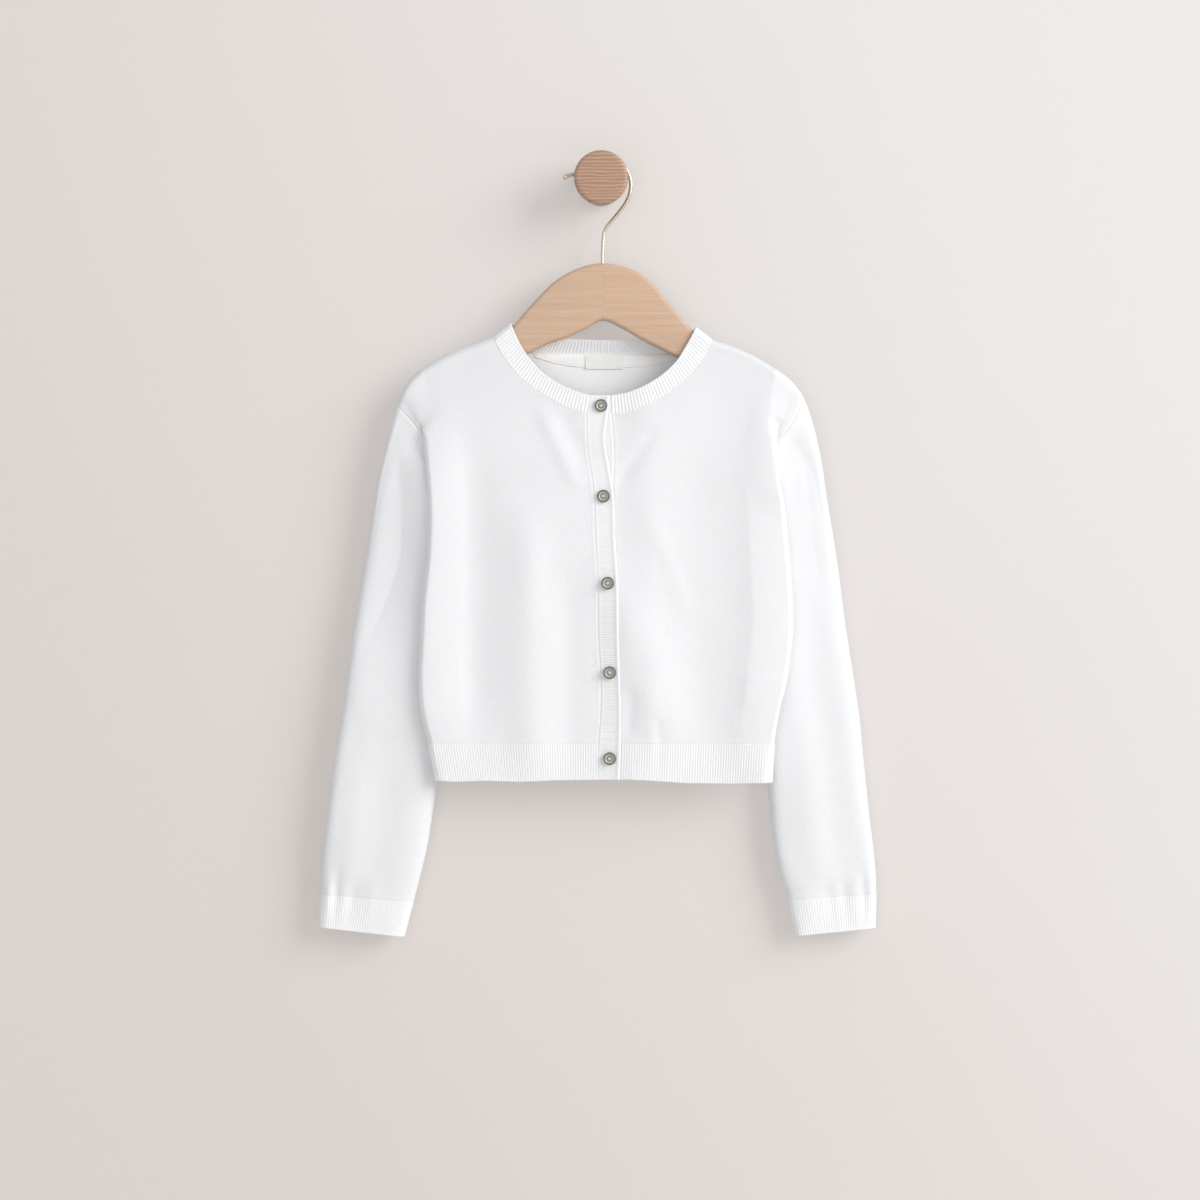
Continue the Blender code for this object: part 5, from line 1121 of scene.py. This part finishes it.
def build_label(back, skin):
    """The bare label on the tape."""
    xs, zs = (fine_between(*ends, LABEL_STEP) for ends in (LABEL_X, LABEL_Z))
    lift = TAPE_LIFT + TAPE_THICK + LABEL_LIFT + LABEL_OFF_TAPE
    return on_back("neck_label_cloth", back, xs, zs, lift, LABEL_THICK, skin, LABEL_DIP)


def ring_mesh(name, rings):
    """A closed mesh through rings of places, in millimetres, with a flat face at each end."""
    index = np.arange(len(rings) * len(rings[0])).reshape(len(rings), -1)
    faces = cells(np.hstack([index, index[:, :1]])).tolist() + [index[0].tolist(), index[-1].tolist()]
    mesh = bpy.data.meshes.new(name)
    mesh.from_pydata((np.vstack(rings) * MM).tolist(), [], faces)
    return mesh


def circle(steps):
    angles = np.arange(steps) * 2 * math.pi / steps
    return np.cos(angles), np.sin(angles)


def turned_mesh(name, profile, steps):
    """A turned piece round Y from a half section: radius and distance towards the viewer, in millimetres."""
    cos, sin = circle(steps)
    sizes = [(max(radius, AXIS_RADIUS), np.full(steps, -height)) for radius, height in profile]
    return ring_mesh(name, [join(radius * cos, y, radius * sin) for radius, y in sizes])


def tube_mesh(name, path, radius, around):
    """A closed tube along a path, with rounded ends, in millimetres."""
    ways = unit(np.gradient(path, axis=0))
    side = unit(np.cross(ways, [0.1, 1.0, 0.2]))  # any way that no part of a path takes
    cos, sin = circle(around)
    radii = np.broadcast_to(radius, len(path)) * np.r_[TUBE_END, np.ones(len(path) - 4), TUBE_END[::-1]]
    frames = zip(path, radii, side, np.cross(ways, side))
    return ring_mesh(name, [place + r * (np.outer(cos, s) + np.outer(sin, o)) for place, r, s, o in frames])


def rounded_profile(profile, radius, steps=5):
    """A half section with each of its corners rounded."""
    points = [np.array(place, float) for place in profile]
    made = [points[0]]
    for before, corner, after in zip(points, points[1:], points[2:]):
        arms = before - corner, after - corner
        cut = min(radius, *(np.linalg.norm(arm) / 2.2 for arm in arms))  # less than half a side
        start, end = (corner + arm / np.linalg.norm(arm) * cut for arm in arms)
        for u in np.linspace(0, 1, steps):
            made.append((1 - u) ** 2 * start + 2 * u * (1 - u) * corner + u * u * end)
    return [tuple(place) for place in (*made, points[-1])]


def build_buttons(skins):
    """Four-hole buttons sewn on with pale thread. Each rests on the most forward of the band under it."""
    profile = rounded_profile(BUTTON_SECTION, BUTTON_ROUND)
    u = np.linspace(-1, 1, THREAD_STEPS)
    near = THREAD_NEAR + (1 - THREAD_NEAR) * np.abs(u)
    high = between(THREAD_DOWN, THREAD_UP, 1 - np.abs(u) ** 6)
    for number, ((x, z), turn) in enumerate(zip(BUTTONS, BUTTON_TURNS), 1):
        across = x + np.array([-BUTTON_RADIUS, 0.0, BUTTON_RADIUS])
        y = float(front_depth(across, z).min()) - RIB_RIDGE - SEAM_GAP
        mesh = turned_mesh("button", profile, BUTTON_STEPS)
        button = finished(f"sewn_button_{number}", mesh, SHARP_BUTTON, skins["button"])
        drill(button)
        button.location = x * MM, y * MM, z * MM
        show(button, "button", f"button_{number}")
        cos, sin = math.cos(math.radians(turn)), math.sin(math.radians(turn))
        for which, side in enumerate((1, -1), 1):
            off, reach = side * HOLE_AT * near, HOLE_AT * u
            path = join(off * cos - reach * sin, -high, off * sin + reach * cos)
            mesh = tube_mesh("thread", path, THREAD_RADIUS, THREAD_AROUND)
            thread = finished(f"button_{number}_thread_{which}", mesh, SHARP_THREAD, skins["thread"])
            thread.location = button.location
            show(thread, "button")


def drill(button):
    """Cuts the four thread holes."""
    start, end = DRILL_Y
    section = (0, start), (HOLE_RADIUS, start), (HOLE_RADIUS, end), (0, end)
    for x, z in ((-1, -1), (-1, 1), (1, -1), (1, 1)):
        mesh = turned_mesh("drill", section, DRILL_STEPS)
        turn_outwards(mesh)
        cutter = linked("drill", mesh)
        cutter.location = (x * HOLE_AT * MM, 0, z * HOLE_AT * MM)
        cut = button.modifiers.new("hole", "BOOLEAN")
        cut.operation = "DIFFERENCE"
        cut.object = cutter
        made = evaluated(button)
        button.modifiers.clear()
        button.data = made
        bpy.data.objects.remove(cutter)


# ---------------------------------------------------------------- hanger, hook and knob

def build_hanger(skin):
    """The flat wooden bar with rounded edges."""
    curve = bpy.data.curves.new("hanger_outline", "CURVE")
    curve.dimensions = "2D"
    curve.fill_mode = "BOTH"
    curve.extrude = (HANGER_THICK / 2 - HANGER_ROUND) * MM
    curve.bevel_depth = HANGER_ROUND * MM
    curve.bevel_resolution = 5
    curve.offset = -HANGER_ROUND * MM
    outline = np.vstack([smooth_line(HANGER_TOP, 5)[:-1], smooth_line(HANGER_BOTTOM, 5)[:-1]])
    spline = curve.splines.new("POLY")
    spline.points.add(len(outline) - 1)
    for point, (x, z) in zip(spline.points, outline):
        point.co = (x * MM, z * MM, 0.0, 1.0)
    spline.use_cyclic_u = True
    bar = linked("hanger_outline", curve)
    bar.rotation_euler = (math.radians(90), 0, 0)
    bar.location = (0, HANGER_PLANE * MM, 0)
    mesh = evaluated(bar)
    mesh.transform(bar.matrix_world)
    bpy.data.objects.remove(bar)
    turn_outwards(mesh, merge=True)
    show(finished("hanger_bar", mesh, SHARP_HANGER, skin), "beech", "hanger")


def build_hook(skin):
    """The bent wire, from its rounded tip over the knob and down into the hanger."""
    x, z = smooth_line(HOOK_ROUTE, 4).T
    radius = HOOK_RADIUS * np.interp(np.arange(len(x)), *HOOK_SWELL)
    mesh = tube_mesh("hook_wire", join(x, np.full(len(x), HANGER_PLANE), z), radius, HOOK_STEPS)
    show(finished("hook_wire", mesh, SHARP_HOOK, skin), "wire", "hook")


def build_knob(skin):
    mesh = turned_mesh("knob_turning", rounded_profile(KNOB_PROFILE, KNOB_ROUND, 6), KNOB_STEPS)
    show(finished("knob_turning", mesh, SHARP_KNOB, skin), "knob_wood", "wall_knob")


# ---------------------------------------------------------------- materials

class Out:
    """An output of a material's node. Its sums, differences, products and shares are math nodes."""

    def __init__(self, skin, socket):
        self.skin, self.socket = skin, socket

    def math(self, operation, *other):
        return self.skin.node("ShaderNodeMath", 0, dict(enumerate((self, *other))), operation=operation)

    def __add__(self, other):
        return self.math("ADD", other)

    def __sub__(self, other):
        return self.math("SUBTRACT", other)

    def __mul__(self, other):
        return self.math("MULTIPLY", other)

    def __truediv__(self, other):
        return self.math("DIVIDE", other)

    def within(self, low, high):
        """0 at the low value, 1 at the high one."""
        return self.skin.node("ShaderNodeMapRange", 0, {"Value": self, "From Min": low, "From Max": high})

    def axes(self):
        made = self.skin.node("ShaderNodeSeparateXYZ", 0, {"Vector": self}).socket.node
        return [Out(self.skin, socket) for socket in made.outputs]


class Skin:
    """A new material. Underscores in the names of its shader's sockets stand for spaces."""

    def __init__(self, name, roughness, **sockets):
        self.material = bpy.data.materials.new(name)
        self.material.use_nodes = True
        self.tree = self.material.node_tree
        self.shader = self.tree.nodes["Principled BSDF"]
        self.set(Roughness=roughness, **sockets)
        self.place = self.node("ShaderNodeTexCoord", "Object")

    def set(self, **sockets):
        for name, value in sockets.items():
            self.give(self.shader.inputs[name.replace("_", " ")], value)

    def give(self, socket, value):
        if isinstance(value, Out):
            self.tree.links.new(value.socket, socket)
        else:
            socket.default_value = (*value, 1.0) if socket.type == "RGBA" else value

    def node(self, kind, output, inputs=None, **settings):
        """A new node's output, once its settings and inputs are in place."""
        made = self.tree.nodes.new(kind)
        for name, value in settings.items():
            setattr(made, name, value)
        for name, value in (inputs or {}).items():
            self.give(made.inputs[name], value)
        return Out(self, made.outputs[output])

    def blend(self, factor, first, second):
        """Colour between two colours or outputs."""
        return self.node("ShaderNodeMix", 2, {0: factor, 6: first, 7: second}, data_type="RGBA")

    def noise(self, vector, scale, detail=2.0, rough=0.5):
        inputs = {"Vector": vector, "Scale": scale, "Detail": detail, "Roughness": rough}
        return self.node("ShaderNodeTexNoise", "Fac", inputs)

    def wave(self, vector, scale, direction, distortion=0.0, **more):
        inputs = {"Vector": vector, "Scale": scale, "Distortion": distortion, **more}
        return self.node("ShaderNodeTexWave", "Fac", inputs, bands_direction=direction)

    def stretched(self, scale, lean=0.0):
        """The place in the object, scaled and leaning round Y."""
        inputs = {"Vector": self.place, "Scale": scale, "Rotation": (0, lean, 0)}
        return self.node("ShaderNodeMapping", "Vector", inputs)

    def bump(self, height, distance, strength=1.0):
        inputs = {"Height": height, "Distance": distance, "Strength": strength}
        self.set(Normal=self.node("ShaderNodeBump", "Normal", inputs))


def knit_skin(name, wale, course, lean, depth, light, groove_shade):
    """White cotton knit: its stitches, uneven from one to the next, with painted shade between them, and soft
    clouds of tone.
    """
    skin = Skin(name, 0.9, Sheen_Weight=0.2, Sheen_Roughness=0.6, Specular_IOR_Level=0.2)
    # In each wale two legs lean towards its middle, one V for each course
    across, down, _ = skin.node("ShaderNodeTexCoord", "UV").axes()
    off = ((across / wale).math("FRACT") - 0.5).math("ABSOLUTE") * 2.0
    ripple = ((down / course + off * lean) * (2 * math.pi)).math("COSINE") * 0.25 + 0.75
    height = (off * math.pi).math("SINE") * ripple
    yarn = skin.noise(skin.place, 2600.0)
    uneven = skin.noise(skin.place, 420.0, 2.0, 0.6)
    cloud = skin.noise(skin.place, 42.0, 3.0)
    # The colour is partly painted shade, darker where the stitch's height is low, and partly random tone from
    # the two noises
    skin.set(Base_Color=skin.blend(height * 0.3 + uneven * 0.7 + cloud * 0.2, groove_shade, light))
    skin.bump(height + yarn * 0.3 + uneven * 0.9, depth)
    return skin


def tape_skin():
    """Cotton twill tape, darker in the low lines of its twill as painted shade."""
    skin = Skin("twill tape", 0.85, Sheen_Weight=0.15)
    twill = skin.wave(skin.stretched((1, 0.02, 1), 0.9), 420.0, "X", 0.6)
    # Painted shade: the colour is darker where the twill's relief is low
    skin.set(Base_Color=skin.blend(twill, (0.92, 0.925, 0.92), (0.965, 0.965, 0.955)))
    skin.bump(twill, 0.00015)
    return skin


def label_skin():
    """Cream satin label: warp floats with a fine weft."""
    skin = Skin("label satin", 0.55, Sheen_Weight=0.2)
    spots = skin.noise(skin.stretched((1, 1, 6)), 500.0, 3.0)
    skin.set(Base_Color=skin.blend(spots, (0.885, 0.885, 0.83), (0.95, 0.95, 0.91)))
    skin.bump(skin.wave(skin.place, 900.0, "Z", 0.3), 0.00008)
    return skin


def pearl_skin_with_painted_light():
    """Smoky pearl with a painted near-black shade on its rim, a light ring, a darker ring round the holes and
    a painted highlight in its pale middle.
    """
    skin = Skin("smoky pearl", 0.28, Coat_Weight=0.5, Coat_Roughness=0.15)
    radius = skin.node("ShaderNodeVectorMath", "Value", {0: skin.stretched((1, 0, 1))}, operation="LENGTH")
    cloud = skin.noise(skin.place, 900.0, 3.0)
    share = (radius + (cloud - 0.5) * 0.0005) / (BUTTON_RADIUS * MM)
    # Painted light: the ramp's pale middle is a highlight and its near-black rim a shade
    colour = skin.node("ShaderNodeValToRGB", "Color", {"Fac": share})
    stops = colour.socket.node.color_ramp.elements  # it starts with one at 0 and one at 1
    for number, (position, shade) in enumerate(BUTTON_RINGS_WITH_PAINTED_LIGHT):
        stop = stops[number] if number < 2 else stops.new(position)
        stop.color = (*shade, 1.0)
    skin.set(Base_Color=colour)
    skin.bump(cloud, 0.00005)
    return skin


def thread_skin():
    skin = Skin("button thread", 0.7)
    twist = skin.wave(skin.place, 700.0, "DIAGONAL")
    # Painted shade: the thread's colour is darker where its twist's relief is low
    skin.set(Base_Color=skin.blend(twist, (0.72, 0.73, 0.64), (0.85, 0.86, 0.78)))
    skin.bump(twist, 0.0001)
    return skin


def beech_skin():
    """Pale beech of two halves that meet in the middle, the grain of each along its arm, with dark flecks."""
    skin = Skin("pale beech", 0.5)
    joint = skin.place.axes()[0] - HANGER_JOINT_X * MM
    right = joint.math("GREATER_THAN", 0.0)
    picked = []
    for stretch, noise in (((2.2, 6, 60), (4.0, 4.0, 0.55)), ((9, 20, 420), (4.0,)), ((60, 40, 900), (2.0,))):
        halves = [skin.noise(skin.stretched(stretch, lean), *noise) for lean in (0.20, -0.34)]
        picked.append(skin.node("ShaderNodeMix", 0, {0: right, 2: halves[0], 3: halves[1]}))
    flow, fine, fleck = picked
    colour = skin.blend(flow.within(0.35, 0.65), (0.560, 0.380, 0.262), (0.620, 0.437, 0.310))
    colour = skin.blend(fine.within(0.30, 0.46), (0.525, 0.352, 0.244), colour)
    colour = skin.blend(fleck.within(0.68, 0.76) * 0.3, colour, (0.42, 0.26, 0.165))
    seam = joint.math("ABSOLUTE").math("LESS_THAN", 0.00022)
    skin.set(Base_Color=skin.blend(seam * 0.25, colour, (0.34, 0.20, 0.12)))
    skin.bump(fine - seam, 0.00012, 0.5)
    return skin


def knob_skin():
    """Reddish beech with growth lines across the face of the knob."""
    skin = Skin("knob beech", 0.5)
    flow = skin.noise(skin.stretched((7, 7, 150), 0.03), 3.2, 4.0, 0.6)
    growth = skin.stretched((0.25, 0.25, 1), 0.03)
    rings = skin.wave(growth, 105.0, "Z", 5.0, **{"Detail": 3.0, "Detail Scale": 1.2})
    lines = rings * 0.45 + flow * 0.6
    colour = skin.blend(lines.within(0.3, 0.75), (0.36, 0.20, 0.128), (0.475, 0.315, 0.222))
    pores = skin.noise(skin.stretched((12, 12, 900)), 3.0).within(0.60, 0.72)
    skin.set(Base_Color=skin.blend(pores * 0.3, colour, (0.27, 0.14, 0.085)))
    skin.bump(lines, 0.0001, 0.5)
    return skin


def wire_skin():
    skin = Skin("champagne wire", 0.3, Metallic=1.0)
    draw = skin.noise(skin.stretched((1, 1, 0.2)), 1800.0)
    rough = skin.node("ShaderNodeMapRange", 0, {"Value": draw, "To Min": 0.22, "To Max": 0.38})
    skin.set(Base_Color=skin.blend(draw, (0.60, 0.54, 0.44), (0.74, 0.69, 0.59)), Roughness=rough)
    return skin


def make_skins():
    skins = {key: knit_skin(*numbers) for key, numbers in KNITS.items()}
    skins.update(tape=tape_skin(), label=label_skin(), button=pearl_skin_with_painted_light(), thread=thread_skin())
    skins.update(beech=beech_skin(), knob=knob_skin(), wire=wire_skin())
    return {key: skin.material for key, skin in skins.items()}


# ---------------------------------------------------------------- room, light and camera

def plain_sheet(name, corners, colours):
    """A flat background sheet that runs from one colour to the other; on the wall that run is painted shade,
    darker away from the key light.
    """
    mesh = bpy.data.meshes.new(name)
    mesh.from_pydata(corners, [], [(0, 1, 2, 3)])
    skin = Skin(name, 0.95)
    x, _, z = skin.place.axes()
    shade = skin.blend(x + z * 0.6 + 0.6 + skin.noise(skin.place, 3.0) * 0.2, *colours)
    skin.set(Base_Color=shade)
    mesh.materials.append(skin.material)
    obj = linked(name, mesh)
    return obj, skin, shade


def see_through_from_behind(skin):
    behind = skin.node("ShaderNodeNewGeometry", "Backfacing")
    clear = skin.node("ShaderNodeBsdfTransparent", 0)
    front = Out(skin, skin.shader.outputs[0])
    mix = skin.node("ShaderNodeMixShader", 0, {0: behind, 1: front, 2: clear})
    skin.give(skin.tree.nodes["Material Output"].inputs["Surface"], mix)


def area_light(name, place, target, size, power, colour):
    light = bpy.data.lights.new(name, "AREA")
    light.shape = "DISK"
    light.size, light.energy, light.color = size, power, colour
    obj = linked(name, light)
    obj.location = place
    obj.rotation_euler = (Vector(target) - Vector(place)).to_track_quat("-Z", "Y").to_euler()


def build_room():
    """A warm grey wall behind the knob and a pale floor, soft light and the camera."""
    scene = bpy.context.scene
    low, high = (-ROOM, WALL_Y, FLOOR_Z), (ROOM, WALL_Y, WALL_TOP)
    # The wall's run of colour is painted shade, darker towards the lower left, away from the key light
    wall, skin, shade = plain_sheet(
        "back_wall", [low, (ROOM, WALL_Y, FLOOR_Z), high, (-ROOM, WALL_Y, WALL_TOP)], WALL_PAINTED_SHADE_COLOURS
    )
    # Painted light: the wall glows with its own shaded colour, so the shadows on it stay faint
    skin.set(Emission_Color=shade, Emission_Strength=WALL_GLOW)
    see_through_from_behind(skin)
    wall.visible_shadow = wall.visible_diffuse = False
    corners = [(x * ROOM, y * ROOM, FLOOR_Z) for x, y in ((-1, -1), (1, -1), (1, 1), (-1, 1))]
    plain_sheet("floor", corners, (FLOOR_COLOUR, FLOOR_COLOUR))
    for light in LIGHTS:
        area_light(*light)
    scene.world = bpy.data.worlds.new("soft surround")
    scene.world.use_nodes = True
    background = scene.world.node_tree.nodes["Background"]
    background.inputs["Color"].default_value = (*WORLD_COLOUR, 1.0)
    background.inputs["Strength"].default_value = WORLD_STRENGTH
    scene.view_settings.view_transform = "Standard"
    scene.cycles.diffuse_bounces = BOUNCES
    data = bpy.data.cameras.new("camera")
    data.lens = LENS
    data.clip_start, data.clip_end = 0.05, 20.0
    scene.camera = linked("camera", data)
    scene.camera.location = CAMERA_PLACE
    scene.camera.rotation_euler = (math.radians(90), 0, 0)


def main():
    skins = make_skins()
    back = build_cloth(skins)
    show_cloth(build_neck_tape(back, skins["tape"]), "tape", "neck_tape")
    show_cloth(build_label(back, skins["label"]), "label", "neck_label")
    build_buttons(skins)
    build_hanger(skins["beech"])
    build_hook(skins["wire"])
    build_knob(skins["knob"])
    build_room()


main()
